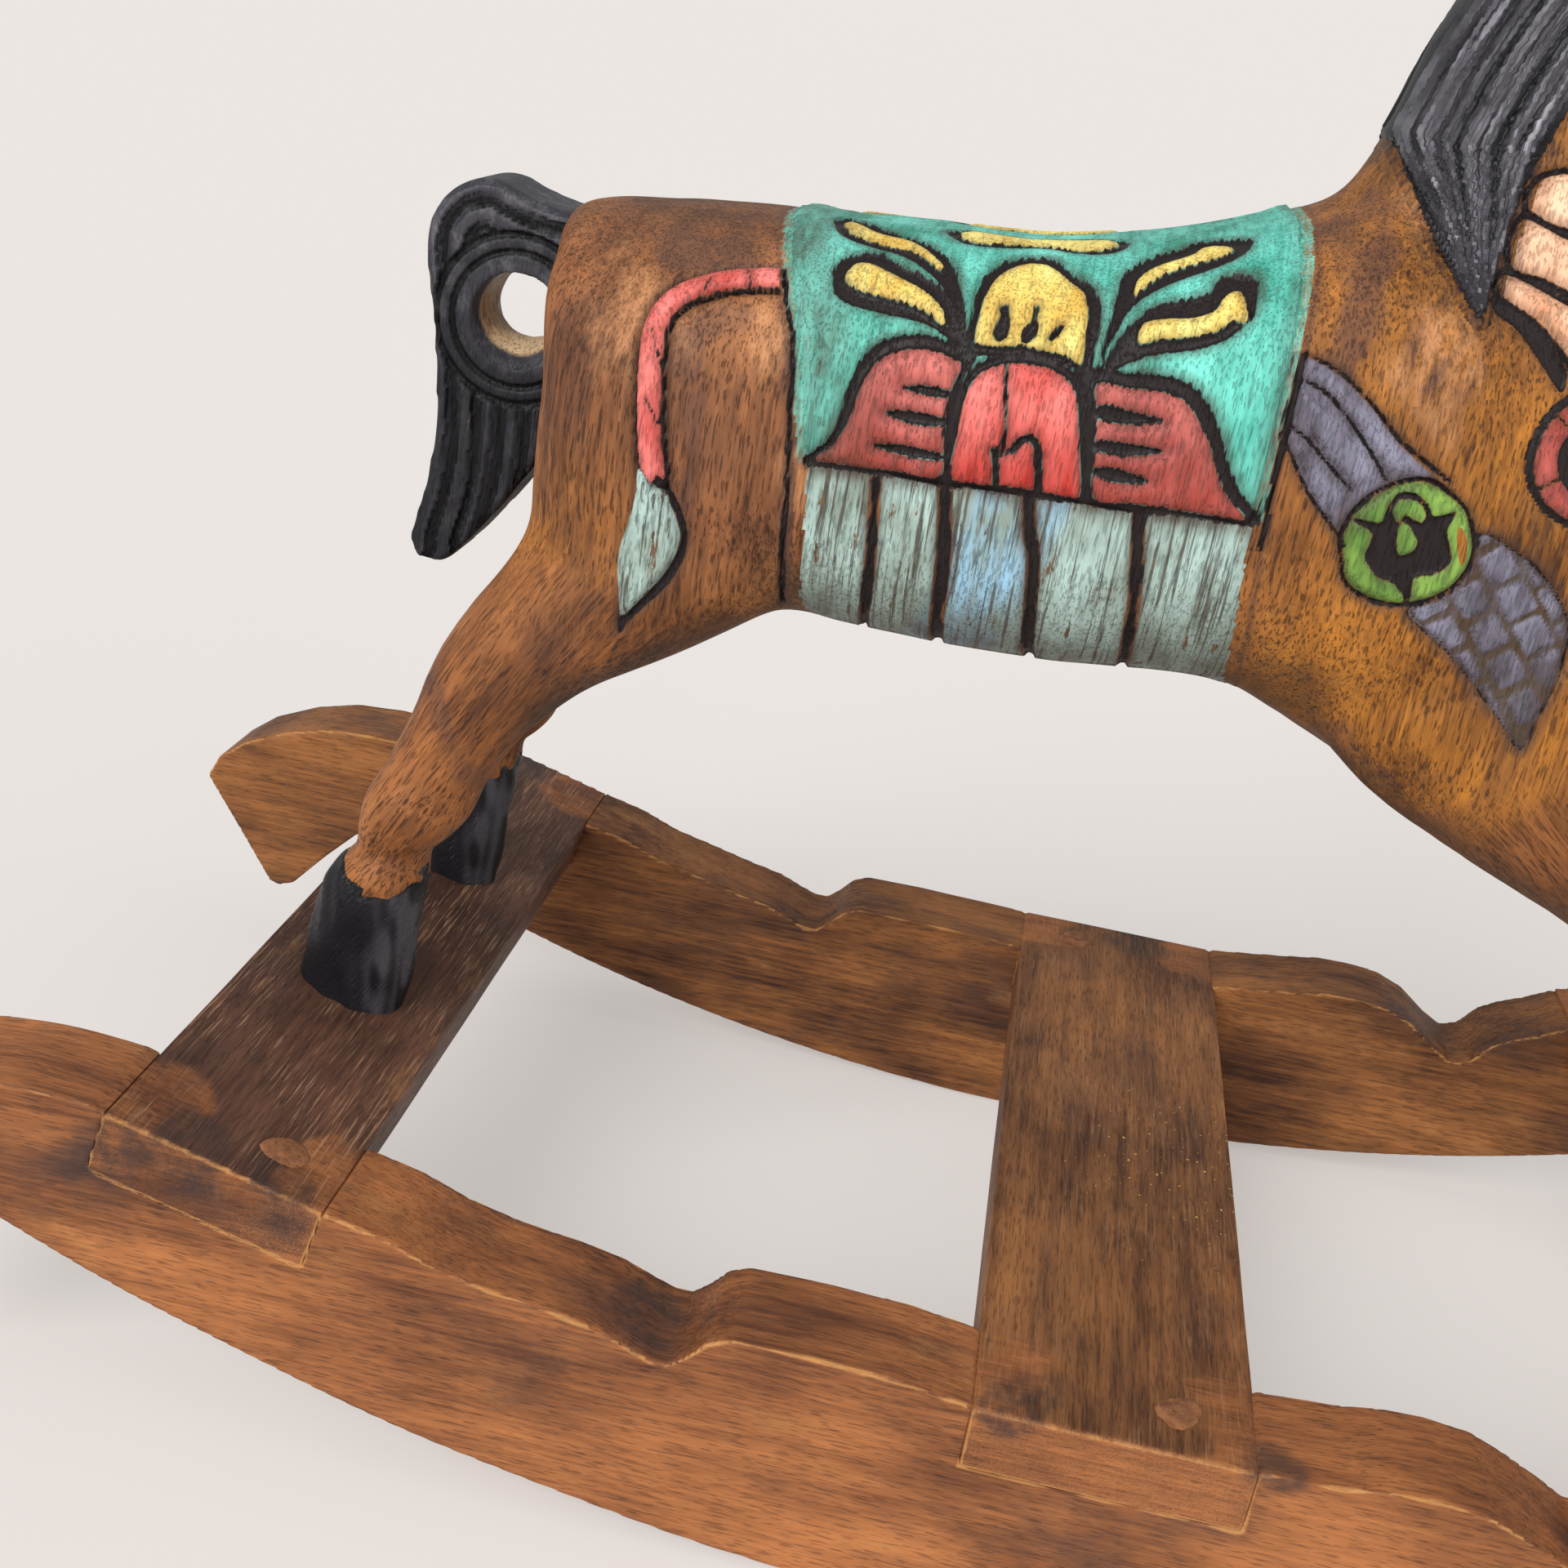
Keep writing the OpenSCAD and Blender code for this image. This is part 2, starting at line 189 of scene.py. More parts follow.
def makeHorseForm():
    body = [[-121.5, 150, -121.5, 214, 0, 24, .8], [-119.5, 142, -119.5, 216.5, 0, 30, .8],
            [-114, 138, -114, 218.5, 0, 35, .8], [-104, 138, -104, 220, 0, 39, .78],
            [-90, 145, -90, 221, 0, 40.5, .74], [-82, 149, -82, 221.5, 0, 41, .72],
            [-66, 151, -66, 222, 0, 42, .66], [-50, 150.6, -50, 223, 0, 42.5, .64],
            [-34, 150.6, -34, 224, 0, 42.5, .64], [-18, 151, -18, 227.5, 0, 42, .66],
            [-4, 152, -4, 232, 0, 41.5, .7], [10, 152, 10, 238, 0, 41, .74],
            [22, 147, 22, 244, 0, 40, .8], [40, 139, 40, 244, 0, 39, .84],
            [60, 130, 60, 236, 0, 37.5, .88], [78, 130, 78, 222, 0, 34, .9],
            [88, 138, 88, 210, 0, 29, .9], [95, 148, 95, 201, 0, 22, .9],
            [99, 160, 99, 192, 0, 12, .95]]
    hind = [[-118, 172, -58, 172, 22, 16, .9], [-121, 160, -64, 160, 23, 16.5, .9],
            [-124.5, 152, -74, 152, 24, 16, .9], [-131, 142, -88, 142, 25, 14.6, .9],
            [-136, 132, -103, 133, 26.5, 12.6, .9], [-139, 121, -114.5, 122, 28, 10.8, .9],
            [-143, 109, -121.5, 111, 29.5, 9.6, .9], [-146.5, 98, -126.5, 100, 31, 8.8, .9],
            [-148, 92, -129.5, 94, 32, 8.4, .9], [-151.5, 87, -131.5, 89, 32, 8.6, .88],
            [-154.5, 76, -133, 77, 32, 9, .85], [-157.5, 58, -135, 52, 32, 9.2, .85]]
    fore = [[28, 150, 90, 190, 22, 17, .9], [36, 143, 98, 181, 23, 16.5, .9],
            [45, 138, 102, 172, 24, 16, .9], [64, 130, 110, 153, 25, 14.4, .9],
            [84, 122, 119, 137, 26.5, 12.4, .9], [98, 113, 126, 125, 28, 10.8, .9],
            [109, 103, 132, 115, 29.5, 9.6, .9], [120, 93, 139, 105, 31, 8.8, .9],
            [127, 88, 146, 97, 32, 8.5, .9], [130.5, 84, 150.5, 91, 32, 8.6, .88],
            [133, 74, 154.5, 78, 32, 9, .85], [135, 52, 157.5, 58, 32, 9.2, .85]]
    neck = [[2, 222, 88, 168, 0, 36, .85], [9, 234, 93, 181, 0, 35, .85],
            [14.5, 243.5, 96, 194, 0, 32.5, .85], [18.5, 254, 95, 222, 0, 27, .85],
            [23, 272, 91, 248, 0, 21.5, .85], [34, 296, 88, 268, 0, 18, .85],
            [52, 315, 90, 277, 0, 16.5, .82], [73, 326, 96, 277, 0, 16.5, .8],
            [93, 320, 107, 273, 0, 16.5, .8], [110, 306, 117, 269, 0, 13.5, .82],
            [124, 290.5, 125, 264, 0, 11.4, .82], [133.5, 280, 131, 261.5, 0, 10.6, .82],
            [138, 273.5, 135, 263.5, 0, 7.5, .9]]
    forms = [loftForm("horseForm", body, 60), loftForm("neckForm", neck, 48)]
    for side in (-1, 1):
        for table in (hind, fore):
            rows = [row[:4] + [row[4] * side] + row[5:] for row in table]
            forms.append(loftForm("legForm", rows, 36))
    pick(*forms)
    bpy.ops.object.join()
    form = bpy.context.object
    remesh(form, horse["coarseVoxel"], horse["blendRounds"])
    for side in (-1, 1):
        ear = loftForm("earForm", [[64, 318, 77, 316, 9 * side, 4.5, .95],
                                   [65, 326, 77, 325, 10 * side, 4.6, .95],
                                   [68, 334, 76, 334, 11 * side, 3.4, .95],
                                   [72, 341, 74.5, 341.5, 11.5 * side, 1.2, 1]], 20)
        pick(form, ear)
        bpy.ops.object.join()
    remesh(form, horse["fineVoxel"], horse["smoothRounds"])
    applyModifier(form, "SUBSURF", levels=1, render_levels=1)
    return form


def overLine(points, line):
    x, z, tilt = line
    return points[:, 2] - z - math.tan(math.radians(tilt)) * (points[:, 0] - x)


# carving: outlines in mm, (x, girth) on the body and (x, z) elsewhere, same on both sides

bodyGirth = np.array([[-121.5, 150, 214, 24], [-119.5, 142, 216.5, 30], [-114, 138, 218.5, 35],
                      [-104, 138, 220, 39], [-90, 145, 221, 40.5], [-82, 149, 221.5, 41],
                      [-66, 151, 222, 42], [-50, 150.6, 223, 42.5], [-34, 150.6, 224, 42.5],
                      [-18, 151, 227.5, 42], [-4, 152, 232, 41.5], [10, 152, 238, 41],
                      [22, 147, 244, 40]])

blanketCut = {
    "edge": [[-83.5, -12], [-83.3, 0], [-82.5, 12], [-80.5, 26], [-78, 37], [-75.5, 44.5],
             [-73.5, 51.5], [-72, 58.5], [-70.5, 65.5], [-69.5, 73], [-68.8, 80.5], [-68.3, 90],
             [-67.5, 101], [-60, 110], [-45, 112.5], [-30, 112.5], [-13, 113.5], [4, 115],
             [12, 115], [10.5, 103], [9, 88], [8, 79], [7.2, 70], [7, 60], [7, 48], [6.8, 36],
             [6.2, 21], [5.6, 0], [5.6, -12]],
    "hem": [[-71, 68], [-62, 67.5], [-53.5, 67], [-45, 67], [-39.5, 66.6], [-31, 67],
            [-21.5, 67.8], [-12, 69], [-3.5, 70], [8, 71.5]],
    "grooves": [([[-57, 69], [-56.2, 77], [-55.5, 88], [-56, 113]], 0.75),
                ([[-45.2, 67.5], [-44, 75], [-43, 84], [-41.8, 113]], 1.05),
                ([[-30.8, 68], [-29.6, 74], [-27.5, 82], [-24.5, 114]], 0.9),
                ([[-12.4, 69], [-11, 77], [-9.4, 88], [-7.8, 114]], 0.85)],
    "edgeLine": [[-79.5, 18], [-77.6, 25], [-76.4, 31], [-74.6, 36], [-72.6, 40], [-71, 44],
                 [-69.6, 49.5], [-68.8, 55], [-67.6, 60.5]],
    "azure": (-43, -27), "lift": 1.15, "hemStep": 0.75,
}
gold = {
    "upperRear": [[-72.6, 13], [-71.3, 10.8], [-69, 12.8], [-66.2, 17], [-63.5, 19], [-60.5, 20.2],
                  [-57.5, 22.6], [-54.6, 26], [-52.4, 29], [-53.6, 29.6], [-56, 27.2],
                  [-59, 25.2], [-62, 24], [-65.2, 22.8], [-68.4, 21], [-71, 18]],
    "lowerRear": [[-68.7, 33], [-67.5, 30.2], [-65, 29.9], [-62, 31.4], [-59, 33], [-55.2, 34.8],
                  [-52.5, 36.8], [-51, 38.6], [-49.9, 41.2], [-51.4, 40.6], [-53.6, 39.2],
                  [-56.5, 38.2], [-59.7, 37.6], [-63, 37], [-66.2, 36.2], [-68.2, 34.9]],
    "top": [[-52, 12], [-50.5, 8.6], [-46.5, 8], [-41, 8.6], [-34.5, 8.4], [-29, 8.8],
            [-25.5, 10], [-24, 13.6], [-26, 16.8], [-29.5, 17.4], [-33, 15.6], [-36.5, 14.2],
            [-41, 14.2], [-45.5, 16.2], [-50, 16.4]],
    "dome": [[-44.8, 43], [-44.9, 38.5], [-44.6, 34], [-43.4, 29.6], [-41, 26], [-38.4, 24.2],
             [-35.6, 24.2], [-33.2, 26.6], [-31, 29.6], [-28.6, 32.2], [-27.5, 35.5], [-27, 39],
             [-26.7, 42.5], [-26.9, 45.6], [-29, 44.4], [-31.6, 43.6], [-34.5, 43.1],
             [-37.2, 42.8], [-40.5, 43.4], [-43, 43.4]],
    "upperFront": [[-20.4, 33.4], [-20.4, 30], [-19, 27.4], [-17, 25.3], [-14, 23.6],
                   [-11.7, 22.2], [-10.4, 19.8], [-8, 19.6], [-5.4, 21.6], [-6, 23.8],
                   [-8.5, 25], [-11, 25.7], [-13.6, 26.8], [-16.4, 28.6], [-18.4, 30.8],
                   [-19.5, 32.4]],
    "lowerFront": [[-18.6, 41], [-18, 38.6], [-14.5, 38.1], [-10, 38.3], [-6.8, 37.2],
                   [-6.2, 35.4], [-4.9, 34.2], [-3.4, 34.3], [-2.3, 36.8], [-1.6, 39.4],
                   [-2.2, 40.3], [-3.6, 39.6], [-5, 40.5], [-7.6, 41.6], [-11.2, 41.7],
                   [-15, 41.7], [-17.8, 42.2]],
}
burnt = {
    "upperRear": [[-74.6, 10], [-71.6, 7.4], [-66.5, 12.5], [-62, 18], [-58, 20.2],
                  [-53.4, 24.8], [-50.3, 30], [-48.2, 36], [-45.6, 44], [-46.8, 44],
                  [-48.3, 40.5], [-50.5, 36], [-53.6, 32], [-57.5, 28.6], [-61, 26.4],
                  [-65.5, 24.6], [-69.6, 22.6], [-72.8, 18.5]],
    "lowerRear": [[-70.6, 35.5], [-70.6, 30.5], [-68.5, 28], [-64.5, 26.4], [-60.5, 29.4],
                  [-55.5, 31.8], [-52, 34.2], [-49.4, 37.6], [-47.8, 41], [-46, 44.4],
                  [-48, 44], [-51, 42.2], [-54.5, 41], [-58.5, 40.6], [-62, 40.1],
                  [-65.6, 39.6], [-68.8, 38.4]],
    "top": [[-54.4, 11], [-52, 7], [-46.5, 6.2], [-41.5, 6.6], [-34.5, 6.4], [-27, 7],
            [-23, 9.6], [-22.4, 14.5], [-24, 18.6], [-27, 19.6], [-31.5, 18.8], [-35, 16.6],
            [-38.5, 16.2], [-43.5, 18.2], [-48, 19.4], [-51.4, 18]],
    "dome": [[-46, 44.8], [-46.2, 39], [-46, 33.5], [-44.6, 28], [-41.6, 23.6], [-38.4, 21.6],
             [-35, 21.8], [-32.4, 25], [-30.4, 28.2], [-27.6, 30.8], [-25.4, 35], [-24.9, 39.5],
             [-25.2, 43], [-25, 46.8], [-27.6, 46.2], [-31.5, 45], [-36, 44.6], [-41.5, 45]],
    "upperFront": [[-24.2, 46], [-23.6, 40.5], [-23.2, 33.5], [-22.4, 28], [-20, 24],
                   [-16.5, 20.8], [-13.5, 18.6], [-11.5, 16.6], [-7.5, 16], [-2.6, 19.4],
                   [-2.5, 22.6], [-4, 25.4], [-7.5, 27.6], [-12.5, 29.8], [-17, 32.2],
                   [-20, 35], [-21.5, 38.4], [-22.9, 42.5]],
    "lowerFront": [[-23, 46.4], [-21.8, 41.5], [-19.5, 38.2], [-17.5, 36.3], [-14.5, 35],
                   [-11, 34.5], [-8.6, 34], [-7.4, 31.6], [-5.6, 30.2], [-3, 30.9], [-1, 32.6],
                   [-0.5, 37.5], [-1, 39.8], [-2.5, 41.3], [-4.6, 42.7], [-8.5, 43.8],
                   [-13.5, 44], [-17, 44.4], [-20.5, 45.9]],
    "wingRear": [[-70, 67.8], [-66.6, 63.6], [-65, 60], [-64.4, 54], [-63.3, 49.5],
                 [-61, 46], [-57.5, 43.9], [-53, 43], [-48.5, 43.8], [-44, 45.4],
                 [-45.3, 49], [-45.6, 53], [-45, 60], [-44, 68], [-53.5, 68], [-60.5, 68]],
    "wingFront": [[-27, 46.2], [-19, 46.8], [-13, 47.6], [-8.8, 49.2], [-4.8, 53],
                  [-1.8, 58], [0.7, 63], [3.8, 67], [6.4, 69.6], [6.6, 72], [-7.5, 70],
                  [-21.5, 68.6], [-24.2, 60.5], [-25.4, 52.5]],
}
red = {
    "wingRear": [[-67.6, 66.9], [-65.2, 63.8], [-63.4, 60], [-62.4, 54.5], [-61.3, 50.5],
                 [-59.4, 47.8], [-56.5, 46.2], [-52.5, 45.4], [-49, 45.9], [-46.2, 47.2],
                 [-47, 50.5], [-47.2, 54.5], [-46.8, 60], [-46.4, 66.3], [-53.5, 66.5],
                 [-60.5, 66.9]],
    "arch": [[-44, 66.4], [-44.7, 60], [-44.7, 53.5], [-43.8, 49.6], [-41.8, 47.2],
             [-38, 45.8], [-33.4, 45.8], [-29.6, 47.2], [-26.9, 50], [-25.6, 54],
             [-24, 60.5], [-22.8, 67.3], [-27.4, 66.8], [-35, 66.1]],
    "wingFront": [[-23.6, 48.6], [-18.5, 49.2], [-13.5, 50], [-9.4, 51.6], [-6.4, 54.6],
                  [-3.5, 58.8], [-1.4, 63], [1.4, 67.2], [5.2, 70.8], [-1, 69.9], [-7.5, 68.9],
                  [-14, 67.9], [-20.2, 67.2], [-21.6, 60.5], [-22.5, 54]],
}
slashes = [[[-55, 52.2], [-52, 51.3], [-47.2, 51.6], [-47.4, 52.8], [-51, 52.9]],
           [[-57.5, 56.8], [-54, 55.9], [-46.8, 56.3], [-47.2, 57.5], [-51.6, 58.1],
            [-55, 57.6]],
           [[-58.5, 62.7], [-54, 61.8], [-46.8, 62.3], [-47, 63.5], [-52, 63.7],
            [-55.5, 63.3]],
           [[-22.8, 52.4], [-21.3, 51.8], [-17, 53], [-11.4, 54.8], [-16, 55.1],
            [-21, 54.6], [-22.8, 53.6]],
           [[-22, 58], [-20, 57.6], [-16, 58.2], [-10.4, 59.6], [-15, 60.2], [-19.6, 59.8],
            [-22, 59.1]],
           [[-21.6, 62.5], [-19, 61.9], [-15.5, 62.8], [-12, 64.4], [-15.5, 64.7],
            [-19.5, 63.9]],
           [[-42, 36.6], [-40.6, 35.5], [-40, 38], [-39.6, 40], [-40, 41.9], [-41.1, 42.5],
            [-42.1, 41.4], [-42, 39.6], [-41.4, 38]],
           [[-36, 35], [-35.4, 35.5], [-35.5, 37.5], [-35, 39.5], [-35.5, 41.5],
            [-36.6, 42.4], [-37.3, 40.5], [-36.4, 38.5]],
           [[-30.8, 38.8], [-31.2, 40.4], [-32.4, 41.6], [-33, 41], [-32, 39.4]]]
archLines = [([[-39, 45.5], [-38.1, 50.5], [-37, 56], [-36.6, 61]], 0.3),
             ([[-35.2, 60], [-34.2, 58.2], [-32.6, 57.6], [-31.2, 59.2], [-30.4, 62],
               [-29.6, 67]], 0.62),
             ([[-38.2, 60.4], [-37.3, 63.4], [-36.7, 67]], 0.62)]
cord = {"line": [[-77, 35.4], [-80, 35.5], [-84, 35.9], [-88, 36.5], [-91.6, 37.6],
                 [-95.4, 39.4], [-98, 42], [-99.2, 45.4], [-99.1, 49.8], [-98.5, 55],
                 [-97.8, 60], [-96.8, 65.5], [-95.4, 71]], "half": 2.05, "lift": 1.35,
        "cuts": [[[-91.3, 36.6], [-92, 39], [-93.4, 41.6]],
                 [[-99.6, 46], [-98, 49.5], [-96.7, 52.5]],
                 [[-98.6, 57.2], [-97, 59.5], [-96, 61.4]],
                 [[-85.6, 34.4], [-84.8, 36], [-84.2, 37.6]]]}
tassel = [[-98.6, 68.6], [-95.6, 71.4], [-93, 73.8], [-91, 78], [-89.6, 82], [-90.1, 85],
          [-91.6, 87.6], [-94, 89.4], [-96.4, 91], [-98.4, 91.8], [-99.4, 88.4],
          [-100.2, 85], [-100.3, 82], [-99.7, 79.4], [-98.8, 75.5], [-98.4, 72]]
tasselShade = [[-95.6, 71.2], [-92.2, 73.4], [-89.9, 77.6], [-88.4, 82.2], [-88.8, 86.4],
               [-91, 89.6], [-96, 92.2], [-99, 93]]
saddleGroove = ([[-79.5, 33], [-77.8, 39.5], [-75.6, 45.5], [-74.2, 52], [-73.6, 59],
                 [-72.5, 67], [-71.7, 76], [-71.2, 88], [-70.6, 99]], 0.45)

strap = {
    "lobes": [[[9.6, 202.4], [11.5, 202.8], [15.5, 199.4], [20.6, 196.2], [20.2, 193.5],
               [18.4, 191], [15, 194.6], [12, 198.2]],
              [[8.6, 211], [10.5, 211.6], [14.5, 209.2], [20, 205], [24.6, 199.6],
               [22.5, 198], [20.5, 197.6], [15.6, 201.8], [11.4, 205.2], [9.2, 208]],
              [[11, 213.2], [13, 212.8], [17.5, 211.2], [21, 209.6], [24.8, 206],
               [28.6, 202.8], [30.6, 200.8], [26.2, 200.8], [23, 203.8], [18.6, 207.4],
               [14.5, 210.4]]],
    "lines": [([[8.6, 205.5], [12, 203.8], [16, 200.6], [21, 196.8]], 0.34),
              ([[9.6, 213], [13.6, 211.4], [19, 207], [23, 203], [26, 199.6]], 0.34),
              ([[9.8, 216.8], [14.5, 215.2], [18.2, 213], [22.2, 210], [26.6, 206.2],
                [31.6, 203.4], [36.2, 201]], 0.32),
              ([[7.6, 204], [10.8, 199.8], [14.4, 195], [19.4, 190.3], [22.4, 187.4]], 0.3)],
    "band": [[35.4, 177.8], [39.9, 181.2], [42.7, 187.2], [43.4, 193.4], [50.4, 191],
             [54.6, 188.8], [59.4, 184.4], [62.6, 178.5], [62.2, 170], [61.2, 164],
             [60, 158.2], [55, 162.8], [49, 168], [43.6, 172.4]],
    "cellStart": (40.5, 182.5), "cellAngle": -49.8, "cell": (7.0, 6.3), "cellHalf": (2.95, 2.6),
    "cellSoft": 0.7,
    "whole": [[6.6, 213], [9, 216.4], [14.2, 214.8], [18, 212.6], [22, 209.6], [26.4, 205.8],
              [31, 202.8], [34.4, 200.6], [30, 200.2], [25.6, 197.4], [22.6, 193.4],
              [21.8, 189.6], [19.4, 190.8], [14.6, 195.4], [11, 200.2], [7.2, 205.4]],
}
rosette = {"centre": (32.2, 189.2), "radius": 10.2,
           "dark": [[21.9, 192.5], [26.8, 192.4], [27.3, 194.2], [27.6, 196.1], [28.7, 198],
                    [31.4, 198.2], [34, 196.4], [34.7, 195], [36.9, 195.8], [38.6, 196.5],
                    [37.7, 194.2], [37.9, 192.3], [39.4, 189.8], [39.6, 187.6], [37.7, 185.4],
                    [35.1, 184.6], [34.8, 183.1], [35.2, 179], [33.7, 181], [31.4, 182.9],
                    [29.3, 183.1], [27.2, 184.6], [25.8, 186.7], [26.1, 188.7], [25.9, 190.5],
                    [23.6, 191.5]],
           "drop": [[29.9, 192.3], [31, 193.2], [33.5, 190.5], [33.1, 188.6], [31.1, 187.7],
                    [30.2, 190.2]],
           "crescent": [[28.2, 194.8], [29, 196.8], [31.8, 197], [33.7, 195.1], [33.1, 193.6],
                        [30.4, 194.5], [29.7, 192.9]],
           "dab": [[39.1, 194.4], [40.9, 192.8], [42, 189.6], [41.6, 187.6], [39.9, 191]]}
redRose = {"centre": (58.6, 208), "outer": 11.6, "ring": (6.4, 10.1), "eye": 3.2}
feathers = [[[39, 244.4], [46, 242.2], [56, 242], [64, 245], [58, 249.6], [48, 250.8],
             [40.4, 249.2]],
            [[38.2, 235.4], [44, 234.2], [52, 232], [62, 232], [70, 235.4], [64, 240],
             [54, 241], [46, 240.6], [38.6, 242.6]],
            [[37.4, 230.8], [43.5, 228], [48, 225], [52, 222], [56, 221.6], [59, 225],
             [55, 229.2], [48, 230.8], [44, 232.2], [37.6, 233.8]]]
featherShade = [[36.4, 230.4], [43, 227.4], [47.5, 224.2], [51, 220.4], [50.4, 217.6],
                [46, 221.6], [41, 226], [37, 228]]
mane = {"edge": [[16.6, 250.2], [19.5, 245.5], [22.5, 240.5], [26, 235], [29.5, 231],
                 [33, 226.8], [35.6, 225.6], [36.4, 230], [37.2, 236], [38.2, 245],
                 [40.2, 253], [43.4, 262], [49, 273], [57, 287], [66, 299], [76, 309],
                 [80, 316], [84, 324], [78, 332], [60, 330], [40, 312], [22, 290],
                 [12, 265], [10, 253]],
        "rear": [[34.4, 226], [29.5, 231], [22.5, 240.5], [16.6, 250], [18, 258], [22, 272],
                 [33, 296], [51, 316], [73, 327]],
        "front": [[35.4, 226], [37.2, 236], [40.2, 253], [49, 273], [66, 299], [80, 316]],
        "strands": 8.0, "lift": 1.2, "relief": 0.75, "earFoot": 319}
face = {"eye": [[83, 303.6], [86.4, 307], [91, 308], [95.8, 304.8], [91.4, 301.8],
                [86.4, 301.4]],
        "pupil": ((90.4, 304.8), 2.6),
        "lid": [[80.6, 303], [85.6, 309.6], [91.4, 310.8], [98.2, 305.2], [91.6, 299.6],
                [85.4, 299]],
        "brow": ([[81, 310], [86, 314], [92.4, 314.6]], 0.5),
        "nostril": [[127.6, 277.6], [130.4, 279.4], [132.4, 276.6], [131, 273.8],
                    [128.6, 274.6]],
        "mouth": ([[139, 267.2], [132, 267], [125, 268.2], [118.6, 271.4]], 0.55),
        "cheek": ((86.5, 288.5), 9.6),
        "noseband": [[107.5, 309], [112, 306], [117.4, 268], [117.4, 262], [111, 262],
                     [111.6, 268]],
        "cheekStrap": [[112.6, 292], [100, 296.4], [84, 298.6], [72, 304], [71, 300.6],
                       [84, 294.8], [100, 292.4], [112.6, 288.4]],
        "ring": ((111.8, 289.6), 4.6)}

# the hoof's upper edge, and height, level and reach of the bulge and the waist above it
hoofTop = {"level": 84.6, "rise": 0.075, "centre": 139.6, "highest": 92.5,
           "fetlock": (0.9, 102, 5), "pastern": (1.3, 92.5, 3.4)}
# painted highlights, paler patches of wood where light falls (x, z, size), and darker stains (path,
# size, depth)
highlightPatches = [(29, 219, 10), (-79, 207, 9), (-103, 202, 12), (26, 244, 7),
         (-70, 180, 6), (110, 240, 9), (88, 250, 12)]
stains = [([[18.5, 240], [17.5, 231], [16, 222], [13.6, 210]], 4.2, 0.55),
          ([[33, 226], [31.4, 221], [29, 215]], 1.0, 0.5),
          ([[-101, 214], [-93, 215], [-84, 214]], 3.4, 0.5),
          ([[-86, 206], [-92, 203], [-93, 198]], 3.2, 0.35),
          ([[-90, 190], [-89, 178], [-90, 168]], 2.4, 0.35),
          ([[10, 236], [14, 232], [17, 226]], 3.0, 0.4), ([[30, 150], [40, 146]], 3.4, 0.4),
          ([[-132, 128], [-122, 108]], 3.2, 0.35)]


def girthAlong(points):
    # way round the body from the ridge of the back, in mm
    x, y, z = points.T
    turn = np.linspace(0, np.pi, 181)
    side = np.abs(np.sin(turn)) ** 0.68 * 42
    up = signedPower(np.cos(turn), 0.68) * 37
    way = np.concatenate([[0], np.cumsum(np.hypot(np.diff(side), np.diff(up)))])
    low, high, half = (np.interp(x, bodyGirth[:, 0], bodyGirth[:, i]) for i in (1, 2, 3))
    angle = np.arctan2(np.abs(y) / half, (z - (high + low) / 2) / ((high - low) / 2))
    return np.interp(angle, np.arctan2(side / 42, up / 37), way)


def curved(outline, closed=True, steps=4):
    rows = np.array(outline, float)
    if closed:
        rows = np.vstack([rows[-2:], rows, rows[:3]])
        out = smoothRows(rows, steps)[2 * steps:-2 * steps]
        return out[:-1]
    return smoothRows(rows, steps)


def mark(a, b, outline, closed=True, reach=6.0):
    # distance to an outline, only worked out near it
    shape = curved(outline, closed)
    low, high = shape.min(0) - reach, shape.max(0) + reach
    near = np.flatnonzero((a > low[0]) & (a < high[0]) & (b > low[1]) & (b < high[1]))
    out = np.full(len(a), reach)
    out[near] = np.minimum(distanceTo(a[near], b[near], shape, closed), reach)
    return out


def disc(a, b, centre, radius):
    return np.hypot(a - centre[0], b - centre[1]) - radius


def swell(z, height, level, reach):
    return height * np.exp(-((z - level) / reach) ** 2)


class Skin:
    # the horse's surface while it is carved: places, height of relief and paint outlines
    def __init__(self, form):
        self.points, self.normals = readPoints(form), readNormals(form)
        self.x, self.y, self.z = self.points.T
        self.girth = girthAlong(self.points)
        self.hand = wobble(self.points, 9, 3)
        self.lift = 0.22 * wobble(self.points, 34, 1) + 0.06 * self.hand
        self.paint = {name: self.far() for name in
                      ("teal", "red", "brick", "gold", "blue", "grey", "green", "pale", "black")}
        neckSide = overLine(self.points, horse["neckJoint"]) > -6
        self.body = (self.z > 146) & (self.x < 30) & ~(neckSide & (self.x > 12))

    def far(self):
        return np.full(len(self.x), 6.0)

    def addPaint(self, name, distance):
        self.paint[name] = np.minimum(self.paint[name], distance)

    def addLine(self, distance):
        self.line = np.minimum(self.line, distance)


